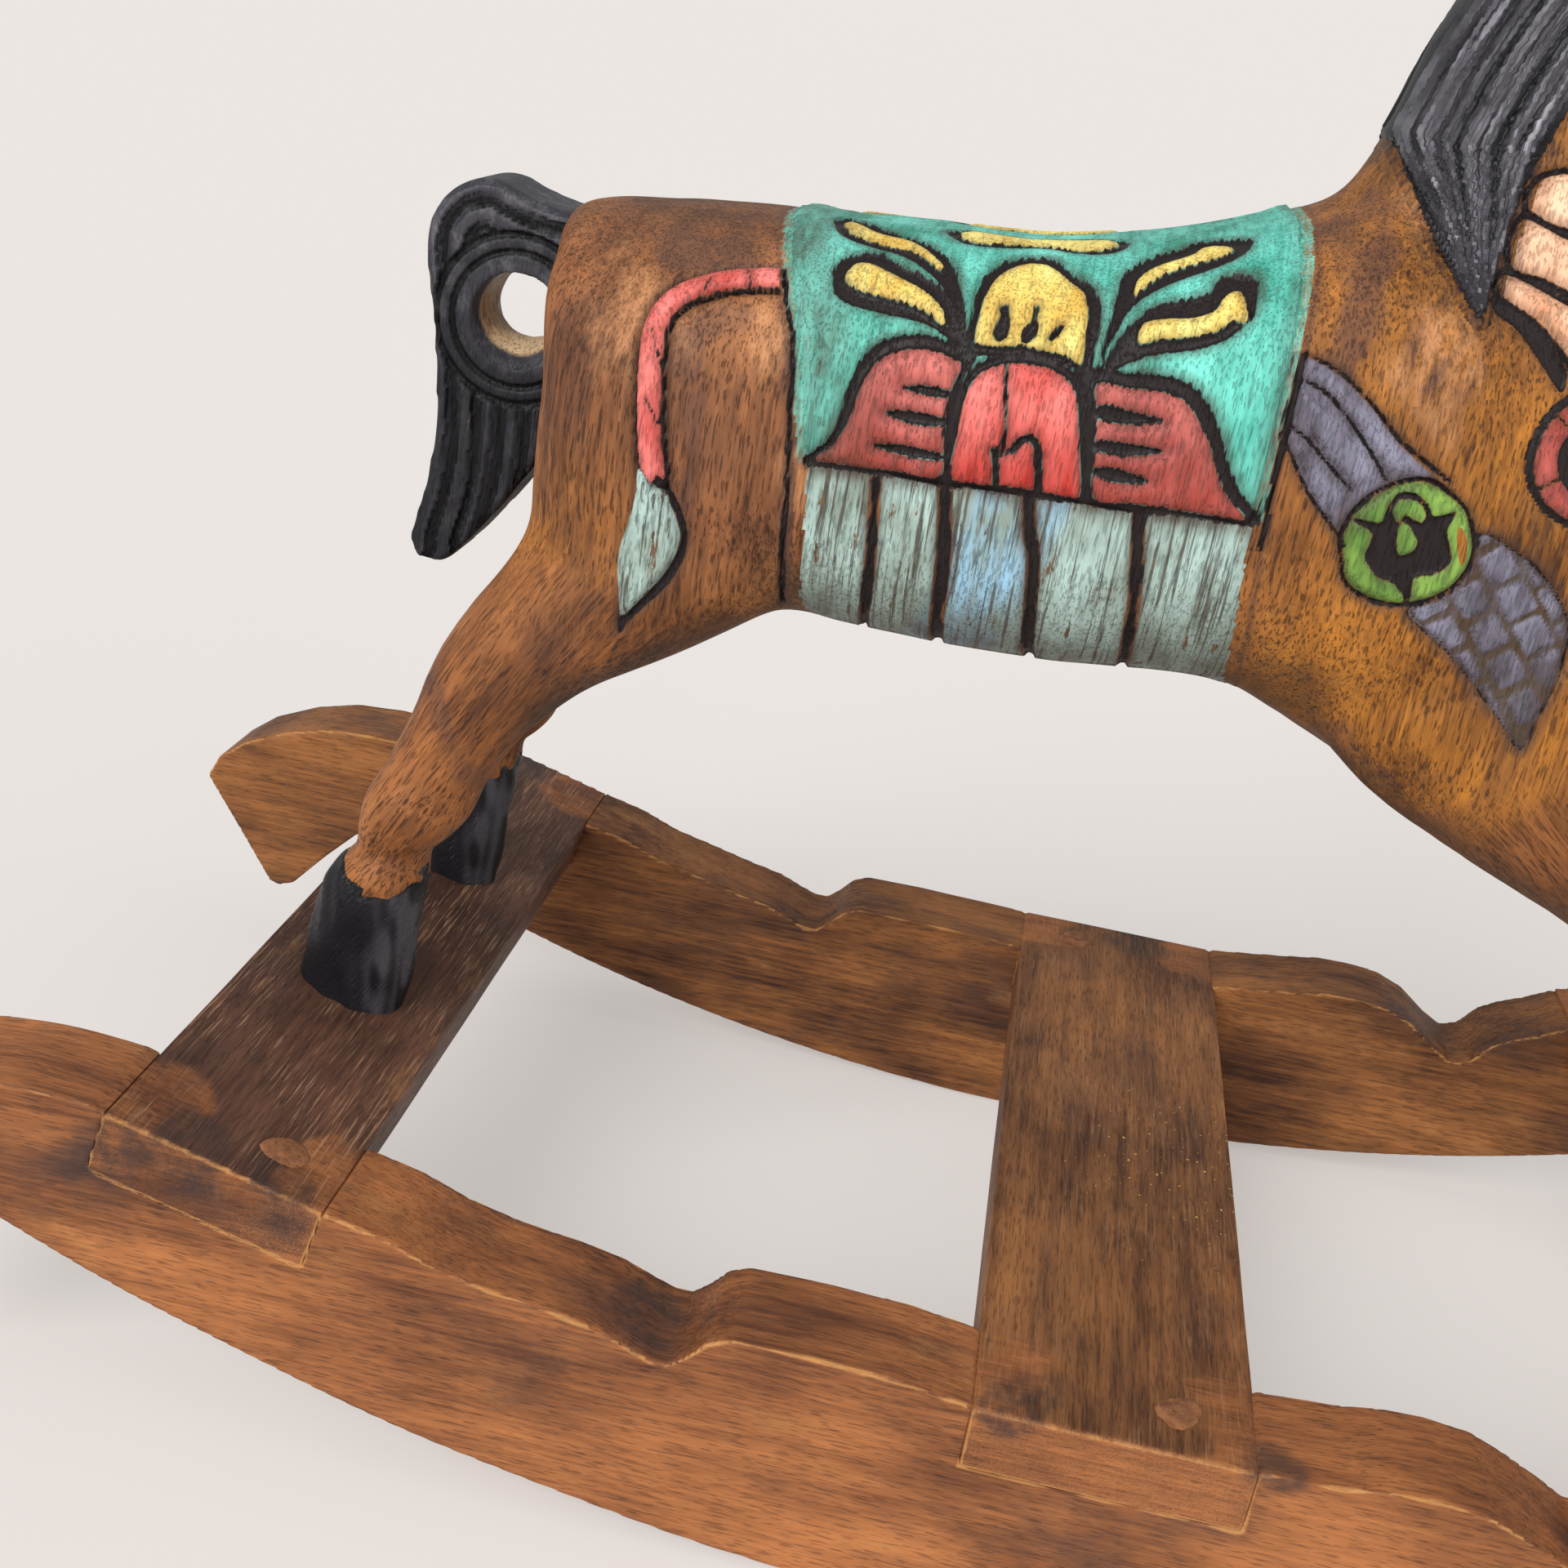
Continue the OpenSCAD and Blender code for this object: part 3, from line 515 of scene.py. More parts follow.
def carveBlanket(skin):
    # blanket, its hem and fringe
    x, girth, body, paint = skin.x, skin.girth, skin.body, skin.paint
    edge = skin.edge = np.where(body, mark(x, girth, blanketCut["edge"], reach=8), 8)
    above = skin.above = girth - np.interp(x, *np.array(blanketCut["hem"]).T)
    skin.lift += blanketCut["lift"] * slopeStep(-edge, -0.3, 1.3) - 0.35 * slopeStep(-edge, 1.8, 5)
    skin.lift -= np.where(edge < 0, blanketCut["hemStep"] * slopeStep(above, -0.1, 0.8), 0)
    paint["teal"] = np.maximum(edge, above)
    paint["blue"] = np.maximum(edge + 0.4, -above)
    skin.line = np.where(edge < 0, np.abs(above) - 0.32, 6)
    skin.tuck = skin.far()
    for path, half in blanketCut["grooves"]:
        side = np.where(body & (above > 0), mark(x, girth, path, False), 6)
        skin.addLine(side - half + 0.25 * skin.hand)
        paint["blue"] = np.maximum(paint["blue"], half + 0.35 - side)
        skin.tuck = np.minimum(skin.tuck, side)
    atFront = (x > 0) & (girth > 46) & (girth < 76) & body
    skin.addLine(np.where(atFront, np.abs(edge - 0.7) - 0.55, 6))
    path, half = saddleGroove
    skin.addLine(np.where(body, mark(x, girth, path, False) - half, 6))
    skin.fold = np.where(body, mark(x, girth, blanketCut["edgeLine"], False), 6)
    skin.lift -= 0.4 * slopeStep(0.9 - skin.fold, 0, 0.8)


def carveFlower(skin):
    # strokes, dome, wings and arch on the blanket
    x, girth, body, paint = skin.x, skin.girth, skin.body, skin.paint
    for name in gold:
        skin.addPaint("gold", mark(x, girth, gold[name]))
    for name in red:
        skin.addPaint("red" if name == "arch" else "brick", mark(x, girth, red[name]))
    filled = np.minimum.reduce([mark(x, girth, burnt[name]) for name in burnt])
    filled = np.minimum(filled, paint["red"] - 1.5)
    cuts = np.minimum.reduce([mark(x, girth, shape) for shape in slashes]
                             + [mark(x, girth, path, False) - half for path, half in archLines])
    for name in ("gold", "red", "brick"):
        paint[name] = np.where(body, np.maximum(paint[name], -cuts), 6)
        paint["teal"] = np.maximum(paint["teal"], -paint[name])
    filled = np.maximum(filled, -np.minimum.reduce([paint[n] for n in ("gold", "red", "brick")]))
    skin.filled = np.minimum(filled, cuts)
    skin.addLine(np.where(body & (skin.above < 1), skin.filled, 6))
    raised = 0.6 * slopeStep(-np.minimum(paint["red"], paint["brick"]), 0, 2.6)
    skin.lift += np.where(body, raised + 0.3 * slopeStep(-paint["gold"], 0, 1.6), 0)


def carveRope(skin):
    # cord and tassel on the rump
    x, girth, body, half = skin.x, skin.girth, skin.body, cord["half"]
    rope = np.where(body, mark(x, girth, cord["line"], False), 6)
    rope = np.where((skin.edge < 0.2) | (girth < 30), 6, rope)
    twist = np.minimum.reduce([mark(x, girth, path, False) - 0.16 for path in cord["cuts"]])
    drop = np.where(body | (x < -80), mark(x, girth, tassel), 6)
    rope = skin.rope = np.where(drop < 0, 6, rope)
    skin.lift += cord["lift"] * np.sqrt(np.clip(1 - (rope / (half + 0.4)) ** 2, 0, 1))
    skin.lift -= 0.5 * slopeStep(-(np.abs(rope - half - 0.7) - 0.6), -0.2, 0.4)
    skin.lift += 0.95 * slopeStep(-drop, -0.2, 1.4)
    skin.addPaint("red", np.maximum(rope - half, -twist))
    skin.addPaint("blue", drop)
    skin.addLine(np.abs(rope - half - 0.3) - 0.3)
    skin.addLine(np.where(rope < half, twist, 6))
    shadeDrop = np.maximum(mark(x, girth, tasselShade), -drop)
    skin.addLine(np.where(x < -80, shadeDrop, 6))


def carveLobes(skin, front):
    # the three lobes of the breast strap and the lines between them
    x, z = skin.x, skin.z
    for shape in strap["lobes"]:
        skin.addPaint("grey", np.where(front, mark(x, z, shape), 6))
    skin.lift += 0.85 * slopeStep(-skin.paint["grey"], -0.2, 1.8)
    for path, half in strap["lines"]:
        skin.addLine(np.where(front, mark(x, z, path, False) - half, 6))


def squaresOf(x, z):
    # distance to the nearest square of the strap's band, laid like bricks
    turn = math.radians(strap["cellAngle"])
    startX, startZ = strap["cellStart"]
    along = (x - startX) * math.cos(turn) + (z - startZ) * math.sin(turn)
    across = (z - startZ) * math.cos(turn) - (x - startX) * math.sin(turn)
    long, high = strap["cell"]
    u = (along / long + 0.5 * (np.floor(across / high) % 2)) % 1 - 0.5
    v = (across / high) % 1 - 0.5
    wide, tall = strap["cellHalf"]
    soft = strap["cellSoft"]
    return np.hypot(np.maximum(np.abs(u * long) - wide + soft, 0),
                    np.maximum(np.abs(v * high) - tall + soft, 0)) - soft


def carveStrap(skin):
    # breast strap with its round boss and squares
    x, z, paint = skin.x, skin.z, skin.paint
    front = (x > 6) & (z > 150)
    carveLobes(skin, front)
    band = np.where(front, mark(x, z, strap["band"]), 6)
    cell = np.maximum(squaresOf(x, z) + 0.3 * skin.hand, band + 0.5)
    boss = disc(x, z, rosette["centre"], rosette["radius"] + 0.5 * skin.hand)
    boss = skin.boss = np.minimum(np.where(front, boss, 6), 6)
    cell = np.maximum(cell, 1.2 - boss)
    whole = np.where(front & (skin.edge > 0), mark(x, z, strap["whole"]), 6)
    inBand = np.maximum(band, 1.2 - boss)
    skin.joints = np.maximum(inBand + 0.4, 0.05 - cell)
    skin.strapEdge = np.minimum(band, whole)
    skin.addLine(np.abs(inBand) - 0.22)
    skin.addPaint("grey", np.maximum(whole, 0.8 - boss))
    skin.addPaint("grey", inBand)
    skin.lift += 0.55 * slopeStep(-cell, -0.2, 0.9) - 0.6 * slopeStep(-band, -0.3, 0.6)
    dark = np.where(front, mark(x, z, rosette["dark"]), 6)
    bare = np.minimum(mark(x, z, rosette["drop"]), mark(x, z, rosette["crescent"]))
    dark = np.maximum(dark, -bare)
    dab = np.where(front, mark(x, z, rosette["dab"]), 6)
    paint["green"] = np.maximum(np.maximum(boss, -dark), -dab)
    skin.addLine(np.where(front, np.minimum(dark, np.abs(boss - 0.45) - 0.4), 6))
    skin.lift += 0.9 * slopeStep(-boss, -0.2, 1.4)


def carveRose(skin):
    # red boss and feathers on the shoulder
    x, z = skin.x, skin.z
    centre, edge = redRose["centre"], redRose["outer"]
    ring = skin.roseRing = np.where(z > 180, disc(x, z, centre, 0), 20)
    inner, outer = redRose["ring"]
    rose = np.abs(ring - (inner + outer) / 2) - (outer - inner) / 2
    petals = np.abs(np.sin(2.5 * np.arctan2(z - centre[1], x - centre[0])))
    rose = np.maximum(rose, 0.25 - (petals * ring * 0.4))
    skin.addPaint("brick", np.clip(rose, -6, 6))
    skin.addPaint("gold", np.clip(ring - redRose["eye"], -6, 6))
    between = np.maximum(np.maximum(ring - edge, -rose), redRose["eye"] - ring)
    skin.addLine(np.where(ring < edge, between, 6))
    skin.lift += 0.8 * slopeStep(edge - ring, -0.2, 1.2)
    for shape in feathers:
        leaf = np.where(z > 200, mark(x, z, shape), 6)
        skin.addPaint("pale", leaf)
        skin.addLine(np.abs(leaf - 0.55) - 0.5)
    shaded = np.minimum(skin.line, np.where(z > 200, mark(x, z, featherShade), 6))
    skin.line = np.where(ring < edge, skin.line, shaded)
    skin.lift += 0.6 * slopeStep(-skin.paint["pale"], -0.2, 1.6)


def carveMane(skin):
    x, y, z, hand, paint = skin.x, skin.y, skin.z, skin.hand, skin.paint
    hair = np.where((z > 220) & (x > 0), mark(x, z, mane["edge"], reach=8), 8)
    crest = np.where((np.abs(y) < 6.5 + 0.8 * hand) & (x > 74) & (x < 99) & (z > 300),
                     np.maximum(np.abs(y) - 6.5, x - 98), 8)
    hair = np.minimum(hair, crest)
    hair = np.where(np.abs(y) > 4.5, np.maximum(hair, z - mane["earFoot"] + 1.5 * hand), hair)
    rear = mark(x, z, mane["rear"], False, reach=60)
    ahead = mark(x, z, mane["front"], False, reach=60)
    part = rear / np.maximum(rear + ahead, 0.4)
    part = np.where(crest < 0, np.abs(y) / 13, part)
    flow = part * mane["strands"] + 0.16 * wobble(skin.points * [0.8, 0.8, 0.3], 24, 4)
    strand = 0.5 + 0.5 * np.cos(2 * np.pi * flow)
    fanned = np.where(crest < 0, 1, slopeStep(rear + ahead, 4, 20))
    swing = 0.5 + 0.5 * np.cos(2 * np.pi * (0.43 * flow + 0.15))
    ridge = 0.62 * strand ** 0.8 + 0.38 * swing
    ridge = 0.5 + (ridge - 0.5) * (0.2 + 0.8 * fanned)
    covered = slopeStep(-hair, -0.2, 0.9)
    skin.lift += covered * (mane["lift"] + mane["relief"] * (2 * ridge - 1))
    skin.addPaint("black", hair)
    for name in ("pale", "red", "brick", "gold"):
        paint[name] = np.where(hair < 0.3, 6, paint[name])
    skin.line = np.where(hair < 0, 6, skin.line)
    skin.hair, skin.part, skin.ridge = hair, part, ridge


def carveFace(skin):
    # eye, nostril, mouth, cheek and bridle, on both sides of the head
    x, y, z = skin.x, skin.y, skin.z
    head = overLine(skin.points, horse["pollJoint"]) > 0
    sided = head & (np.abs(y) > 4.5)

    def onSide(distance):
        return np.where(sided, distance, 6)

    eye, lid = onSide(mark(x, z, face["eye"])), onSide(mark(x, z, face["lid"]))
    pupil, ring = onSide(disc(x, z, *face["pupil"])), onSide(disc(x, z, *face["ring"]))
    nostril, cheek = onSide(mark(x, z, face["nostril"])), onSide(np.abs(disc(x, z, *face["cheek"])))
    noseband = np.where(head, mark(x, z, face["noseband"]), 6)
    straps = np.minimum(noseband, onSide(mark(x, z, face["cheekStrap"])))
    straps = np.maximum(straps, -ring)
    mouth = np.where(head, mark(x, z, face["mouth"][0], False) - face["mouth"][1], 6)
    brow = onSide(mark(x, z, face["brow"][0], False) - face["brow"][1])
    rim = slopeStep(-(np.abs(eye - 0.2) - 0.5), -0.2, 0.4)
    skin.lift += 0.7 * slopeStep(-lid, -0.3, 1.2) - 0.9 * rim
    skin.lift += 0.5 * slopeStep(-eye, 0.4, 2.2)
    skin.lift -= 1.9 * slopeStep(-nostril, -0.3, 1.4)
    skin.lift -= 0.45 * slopeStep(0.8 - cheek, -0.6, 0.8) * (x < 92)
    skin.lift += 0.8 * slopeStep(-straps, -0.2, 0.7) + 1.1 * slopeStep(-ring, -0.2, 1.2)
    straps = np.where(skin.hair < 0.2, 6, straps)
    skin.addPaint("red", straps)
    skin.addPaint("green", np.maximum(ring, 1.6 - (ring + face["ring"][1])))
    skin.addPaint("pale", np.maximum(eye, -pupil))
    skin.addLine(onSide(np.minimum.reduce([np.maximum(pupil, eye), np.abs(eye - 0.45) - 0.42,
                                           nostril, brow, np.abs(ring - 0.2) - 0.3])))
    skin.addLine(np.where(head, np.minimum(mouth, np.abs(straps - 0.25) - 0.28), 6))


def carveEars(skin):
    x, y, z, forward = skin.x, skin.y, skin.z, skin.normals[:, 0]
    ear = (z > 320) & (x > 60) & (x < 80) & (np.abs(y) > 5)
    hollow = np.where(ear, np.hypot((x - 73.6) / 2.4, (z - 330) / 7.4) - 1, 6)
    skin.lift -= np.where(ear & (forward > 0.1), 1.1 * slopeStep(-hollow, -0.1, 0.6), 0)
    skin.addLine(np.where(ear & (forward > 0.2), hollow * 2, 6))


def carveHooves(skin):
    x, z, points, normals = skin.x, skin.z, skin.points, skin.normals
    hoofLine = hoofTop["level"] + hoofTop["rise"] * (np.abs(x) - hoofTop["centre"]) ** 2
    hoofLine = np.minimum(hoofLine, hoofTop["highest"])
    hoofLine = hoofLine + 0.9 * wobble(points, 3.4, 8)
    hoof = np.where(np.abs(x) > 110, z - hoofLine, 6)
    skin.addPaint("black", np.clip(hoof, -6, 6))
    skin.lift -= 0.35 * slopeStep(0.9 - np.abs(hoof + 0.6), 0, 0.7)
    foot = (np.abs(x) > 110) & (z < 125)
    skin.lift += foot * (swell(z, *hoofTop["fetlock"]) - swell(z, *hoofTop["pastern"]))
    skin.lift += 0.45 * np.where(hoof < 0, wobble(points * [1, 1, 0.5], 7, 31), 0)
    # painted sheen: a lighter streak down the front-facing side of each hoof, carried in ridge
    hoofSheen = slopeStep(normals[:, 0] - 0.3 * normals[:, 1], 0.3, 0.9) \
        * slopeStep(wobble(points * [1, 1, 0.3], 3.2, 32), -0.6, 0.8)
    skin.ridge = np.where(skin.hair < 0, skin.ridge, 0.2 + 0.5 * hoofSheen * foot)


def cutSkin(form, skin):
    # moves the surface by all the relief at once and keeps the places the finishes wrap on
    x, z = skin.x, skin.z
    skin.lift -= horse["lineDepth"] * slopeStep(-skin.line, -0.25, 0.45)
    places = np.stack([x, 0 * x, np.where(skin.body, skin.girth, z)], -1)
    inHair = skin.hair < 0.6
    places[inHair] = np.stack([skin.part * 30, 0 * x, z], -1)[inHair]
    skin.points += skin.normals * skin.lift[:, None]
    skin.points[:, 0] -= (2.2 * slopeStep(z, 184, 206) + 1.6 * slopeStep(z, 208, 217)) \
        * slopeStep(-x, 106, 118)
    writePoints(form, skin.points)
    keepPlace(form, "wrap", places)


def keepPaintedLightAndStains(form, skin):
    x, y, z, edge = skin.x, skin.y, skin.z, skin.edge
    paintedHighlight, ragged = np.zeros(len(x)), 3 * wobble(skin.points, 12, 15)
    # painted highlight: paler patches on the sides of the body where light falls
    for cx, cz, size in highlightPatches:
        away = np.hypot(x - cx, 0.8 * (z - cz)) + ragged
        paintedHighlight = np.maximum(paintedHighlight, slopeStep(size - away, 0, size * 0.8))
    keepValue(form, "paintedHighlight", 0.72 * paintedHighlight * slopeStep(np.abs(y), 12, 22))
    darkening, ragged = np.zeros(len(x)), 1.6 * wobble(skin.points, 11, 16)
    for path, size, depth in stains:
        away = mark(x, z, path, False, reach=12) + ragged
        darkening = np.maximum(darkening, depth * slopeStep(size - away, 0, size * 0.8))
    # painted shade on the body just outside the raised edge of the blanket
    darkening = np.maximum(darkening, 0.55 * slopeStep(2.6 - edge, 0, 2.2) * (edge > 0) * skin.body)
    keepValue(form, "darkening", darkening)


def keepDirtAndShade(form, skin):
    # dirt and painted shade: darker in the cuts, under the fringe, along every raised edge and on
    # undersides that face down
    x, z, edge, above, hair, boss = skin.x, skin.z, skin.edge, skin.above, skin.hair, skin.boss
    cloth, fringe = (edge < 0) & (above < 0), (edge < 0) & (above >= 0)
    motifs = np.minimum.reduce([skin.paint[name] for name in ("gold", "red", "brick")])
    keepValue(form, "dirtAndShade", np.maximum.reduce([
        cloth * (x < -40) * 0.62 * slopeStep(17 + edge, 0, 15),
        cloth * (x > -20) * 0.42 * slopeStep(3.5 + edge, 0, 3),
        cloth * 0.4 * slopeStep(2.6 - np.minimum(skin.filled, 6), 0, 2.6)
        * slopeStep(motifs, 0, 0.6),
        0.72 * slopeStep(1.5 - skin.fold, 0, 1.4),
        # painted shade at the top of the fringe, under the step of the hem
        fringe * 0.8 * slopeStep(4 - above, 0, 3.6),
        fringe * 0.7 * slopeStep(2.8 - skin.tuck, 0, 2.2),
        # painted shade on the surfaces that face down, along the belly
        0.6 * slopeStep(-skin.normals[:, 2], 0.15, 0.85) * (z < 178) * (z > 120),
        0.5 * slopeStep(5 - skin.rope, 0, 3.4) * (skin.rope > cord["half"]),
        0.25 * slopeStep(z, 207, 217) * (x < -83),
        0.5 * slopeStep(3.6 - hair, 0, 3) * (hair > 0),
        0.45 * slopeStep(2.6 - boss, 0, 2) * (boss > 0),
        1.1 * slopeStep(-skin.joints, -0.35, 0.05),
        0.4 * slopeStep(2.4 - skin.strapEdge, 0, 2) * (skin.strapEdge > 0)]))


def keepBlends(form, skin):
    # where deep tones, the blue fringe, leg wood and warm wood take over
    x, z, girth, points = skin.x, skin.z, skin.girth, skin.points
    deep = 0.06 + 0.94 * slopeStep(skin.above, -15, -1)
    deep = np.where(skin.body & (x > -75), deep, 0)
    keepValue(form, "deep", np.where(skin.roseRing < redRose["outer"], 0.9, deep))
    low, high = blanketCut["azure"]
    slant = 0.25 * (girth - 80)
    keepValue(form, "azure", slopeStep(x + slant, low - 1, low + 2)
              * slopeStep(-x - slant, -high - 2, -high + 1) * skin.body)
    hindShare = slopeStep(horse["hindJoint"] + 5 * wobble(points, 14, 21) - z, -10, 12) * (x < -60)
    foreSide = overLine(points, horse["frontJoint"])
    foreShare = slopeStep(5 * wobble(points, 14, 22) - foreSide, -10, 12)
    keepValue(form, "share", np.maximum(hindShare, foreShare * (x > 20)))
    warm = slopeStep(x, -20, 40) + 0.35 * slopeStep(-z, -190, -150) + 0.2 * wobble(points, 40, 12)
    keepValue(form, "warm", np.clip(warm, 0, 1))


def carveHorse(form):
    skin = Skin(form)
    for carve in (carveBlanket, carveFlower, carveRope, carveStrap, carveRose, carveMane,
                  carveFace, carveEars, carveHooves):
        carve(skin)
    cutSkin(form, skin)
    for name, distance in {**skin.paint, "line": skin.line}.items():
        keepValue(form, name, np.clip(distance, -6, 6))
    keepValue(form, "ridge", skin.ridge)
    keepPaintedLightAndStains(form, skin)
    keepDirtAndShade(form, skin)
    keepBlends(form, skin)


def partHorse(form):
    # every face goes to one piece, so the pieces meet exactly along the glue lines
    count = len(form.data.polygons)
    centres = np.empty(count * 3)
    form.data.polygons.foreach_get("center", centres)
    c = centres.reshape(-1, 3) * 1000
    low = horse["blanket"]
    hind = (c[:, 2] < horse["hindJoint"]) & (c[:, 0] < -60)
    front = (overLine(c, horse["frontJoint"]) < 0) & (c[:, 0] > 30) & (np.abs(c[:, 1]) > 7)
    neck = (overLine(c, horse["neckJoint"]) > 0) & (c[:, 0] > 8)
    head = neck & (overLine(c, horse["pollJoint"]) > 0)
    label = np.zeros(count, int)
    label[c[:, 0] < low[0]] = 1
    label[c[:, 0] > low[1]] = 2
    label[hind & (c[:, 1] < 0)] = 3
    label[hind & (c[:, 1] > 0)] = 4
    label[front & (c[:, 1] < 0)] = 5
    label[front & (c[:, 1] > 0)] = 6
    label[neck] = 7
    label[head] = 8
    names = ["barrelAndBlanket", "rump", "chest", "legRearRight", "legRearLeft",
             "legFrontRight", "legFrontLeft", "neckAndMane", "headBlock"]
    pieces = {}
    for number, name in enumerate(names):
        piece = form.copy()
        piece.data = form.data.copy()
        piece.name = piece.data.name = name
        bpy.context.collection.objects.link(piece)
        pick(piece)
        piece.data.polygons.foreach_set("select", label != number)
        bpy.ops.object.mode_set(mode="EDIT")
        bpy.ops.mesh.select_mode(type="FACE")
        bpy.ops.object.mode_set(mode="OBJECT")
        piece.data.polygons.foreach_set("select", label != number)
        bpy.ops.object.mode_set(mode="EDIT")
        bpy.ops.mesh.delete(type="FACE")
        bpy.ops.object.mode_set(mode="OBJECT")
        pieces[name] = piece
    bpy.data.objects.remove(form)
    return pieces


def closePiece(piece):
    pick(piece)
    bpy.ops.object.mode_set(mode="EDIT")
    bpy.ops.mesh.select_mode(type="EDGE")
    bpy.ops.mesh.select_all(action="DESELECT")
    bpy.ops.mesh.select_non_manifold(extend=False, use_wire=False, use_boundary=True,
                                     use_multi_face=False, use_non_contiguous=False,
                                     use_verts=False)
    bpy.ops.mesh.extrude_edges_move()
    bpy.ops.mesh.merge(type="COLLAPSE")
    bpy.ops.mesh.select_all(action="DESELECT")
    bpy.ops.object.mode_set(mode="OBJECT")


# node groups shared by the finishes


class Sheet:
    # a small helper that lays nodes on a material or a group
    def __init__(self, tree):
        self.tree = tree

    def add(self, kind, inputs=None, **settings):
        node = self.tree.nodes.new("ShaderNode" + kind)
        for key, value in settings.items():
            setattr(node, key, value)
        for key, value in (inputs or {}).items():
            socket = node.inputs[key]
            if isinstance(value, bpy.types.NodeSocket):
                self.tree.links.new(value, socket)
            else:
                socket.default_value = value
        return node

    def math(self, operation, first, second=0.0):
        return self.add("Math", {0: first, 1: second}, operation=operation).outputs[0]

    def mix(self, factor, first, second):
        return self.add("Mix", {0: factor, 6: first, 7: second}, data_type="RGBA").outputs[2]

    def spread(self, value, low, high, outLow=0.0, outHigh=1.0):
        return self.add("MapRange", {0: value, 1: low, 2: high, 3: outLow, 4: outHigh}).outputs[0]

    def noise(self, vector, scale, detail=3.0, roughness=0.55, stretch=None):
        if stretch:
            vector = self.add("Mapping", {"Vector": vector, "Scale": (1, 1, stretch)}).outputs[0]
        node = self.add("TexNoise", {"Vector": vector, "Scale": scale, "Detail": detail,
                                     "Roughness": roughness})
        return node.outputs["Fac"]


def makeGroup(name, inputs, outputs):
    group = bpy.data.node_groups.new(name, "ShaderNodeTree")
    kinds = {"v": "NodeSocketVector", "c": "NodeSocketColor", "f": "NodeSocketFloat"}
    for label, kind, value in inputs:
        socket = group.interface.new_socket(label, in_out="INPUT", socket_type=kinds[kind])
        if value is not None:
            socket.default_value = value
    for label, kind in outputs:
        group.interface.new_socket(label, in_out="OUTPUT", socket_type=kinds[kind])
    given = group.nodes.new("NodeGroupInput").outputs
    out = group.nodes.new("NodeGroupOutput").inputs
    return group, Sheet(group), given, out


def makeWoodGrain():
    # open-grained wood, the grain along Z of the vector
    group, sheet, given, out = makeGroup(
        "woodGrain", [("Vector", "v", None), ("Light", "c", (0.4, 0.2, 0.1, 1)),
                      ("Dark", "c", (0.15, 0.06, 0.03, 1)),
                      ("Pore Color", "c", (0.03, 0.015, 0.01, 1)), ("Pores", "f", 1.0)],
        [("Color", "c"), ("Height", "f"), ("Pores", "f")])
    vector = given["Vector"]
    fibre = sheet.noise(vector, 1000, 4, 0.65, 0.05)
    band = sheet.noise(vector, 150, 3, 0.6, 0.12)
    cloud = sheet.noise(vector, 34, 3, 0.6, 0.6)
    total = sheet.math("ADD", sheet.math("MULTIPLY", fibre, 0.85),
                       sheet.math("ADD", sheet.math("MULTIPLY", band, 0.65),
                                  sheet.math("MULTIPLY", cloud, 1.25)))
    tone = sheet.spread(total, 1.07, 1.68)
    color = sheet.mix(tone, given["Dark"], given["Light"])
    stretched = sheet.add("Mapping", {"Vector": vector, "Scale": (1, 1, 0.22)}).outputs[0]
    cells = sheet.add("TexVoronoi", {"Vector": stretched, "Scale": 900}, feature="F1")
    shaft = sheet.spread(cells.outputs["Distance"], 0.14, 0.32, 1, 0)
    kept = sheet.spread(sheet.add("SeparateColor", {0: cells.outputs["Color"]}).outputs[0],
                        0.36, 0.48)
    fine = sheet.spread(sheet.noise(vector, 2400, 2, 0.5, 0.09), 0.56, 0.66)
    patch = sheet.spread(sheet.noise(vector, 50, 2), 0.36, 0.62, 0.1, 0.85)
    dashes = sheet.math("MULTIPLY", sheet.math("MULTIPLY", shaft, kept), patch)
    dashes = sheet.math("MAXIMUM", dashes, sheet.math("MULTIPLY", fine, 0.68))
    pores = sheet.math("MULTIPLY", dashes, given["Pores"])
    color = sheet.mix(pores, color, given["Pore Color"])
    height = sheet.math("SUBTRACT", sheet.math("MULTIPLY", fibre, 0.2), pores)
    sheet.tree.links.new(color, out["Color"])
    sheet.tree.links.new(height, out["Height"])
    sheet.tree.links.new(pores, out["Pores"])
    return group


def makePaintCover():
    # where paint still covers: inside its outline, with a ragged edge and worn spots
    group, sheet, given, out = makeGroup(
        "paintCover", [("Vector", "v", None), ("Distance", "f", 0.0), ("Ragged", "f", 0.5),
                       ("Worn", "f", 0.2)], [("Mask", "f")])
    ripple = sheet.math("SUBTRACT", sheet.noise(given["Vector"], 900, 3, 0.6, 0.35), 0.5)
    edge = sheet.math("ADD", given["Distance"], sheet.math("MULTIPLY", ripple, given["Ragged"]))
    cover = sheet.spread(edge, 0.1, -0.1)
    chips = sheet.noise(given["Vector"], 420, 6, 0.72, 0.22)
    limit = sheet.math("SUBTRACT", 0.72, sheet.math("MULTIPLY", given["Worn"], 0.35))
    bare = sheet.spread(sheet.math("SUBTRACT", chips, limit), 0.0, 0.035)
    mask = sheet.math("MULTIPLY", cover, sheet.math("SUBTRACT", 1.0, bare))
    sheet.tree.links.new(mask, out["Mask"])
    return group


def makePaintTone():
    # uneven brushed colour
    group, sheet, given, out = makeGroup(
        "paintTone", [("Vector", "v", None), ("Light", "c", None), ("Dark", "c", None)],
        [("Color", "c")])
    cloud = sheet.noise(given["Vector"], 75, 4, 0.6, 0.6)
    streak = sheet.noise(given["Vector"], 700, 3, 0.6, 0.12)
    total = sheet.math("ADD", sheet.math("MULTIPLY", cloud, 0.72),
                       sheet.math("MULTIPLY", streak, 0.28))
    sheet.tree.links.new(sheet.mix(sheet.spread(total, 0.4, 0.61), given["Dark"], given["Light"]),
                         out["Color"])
    return group


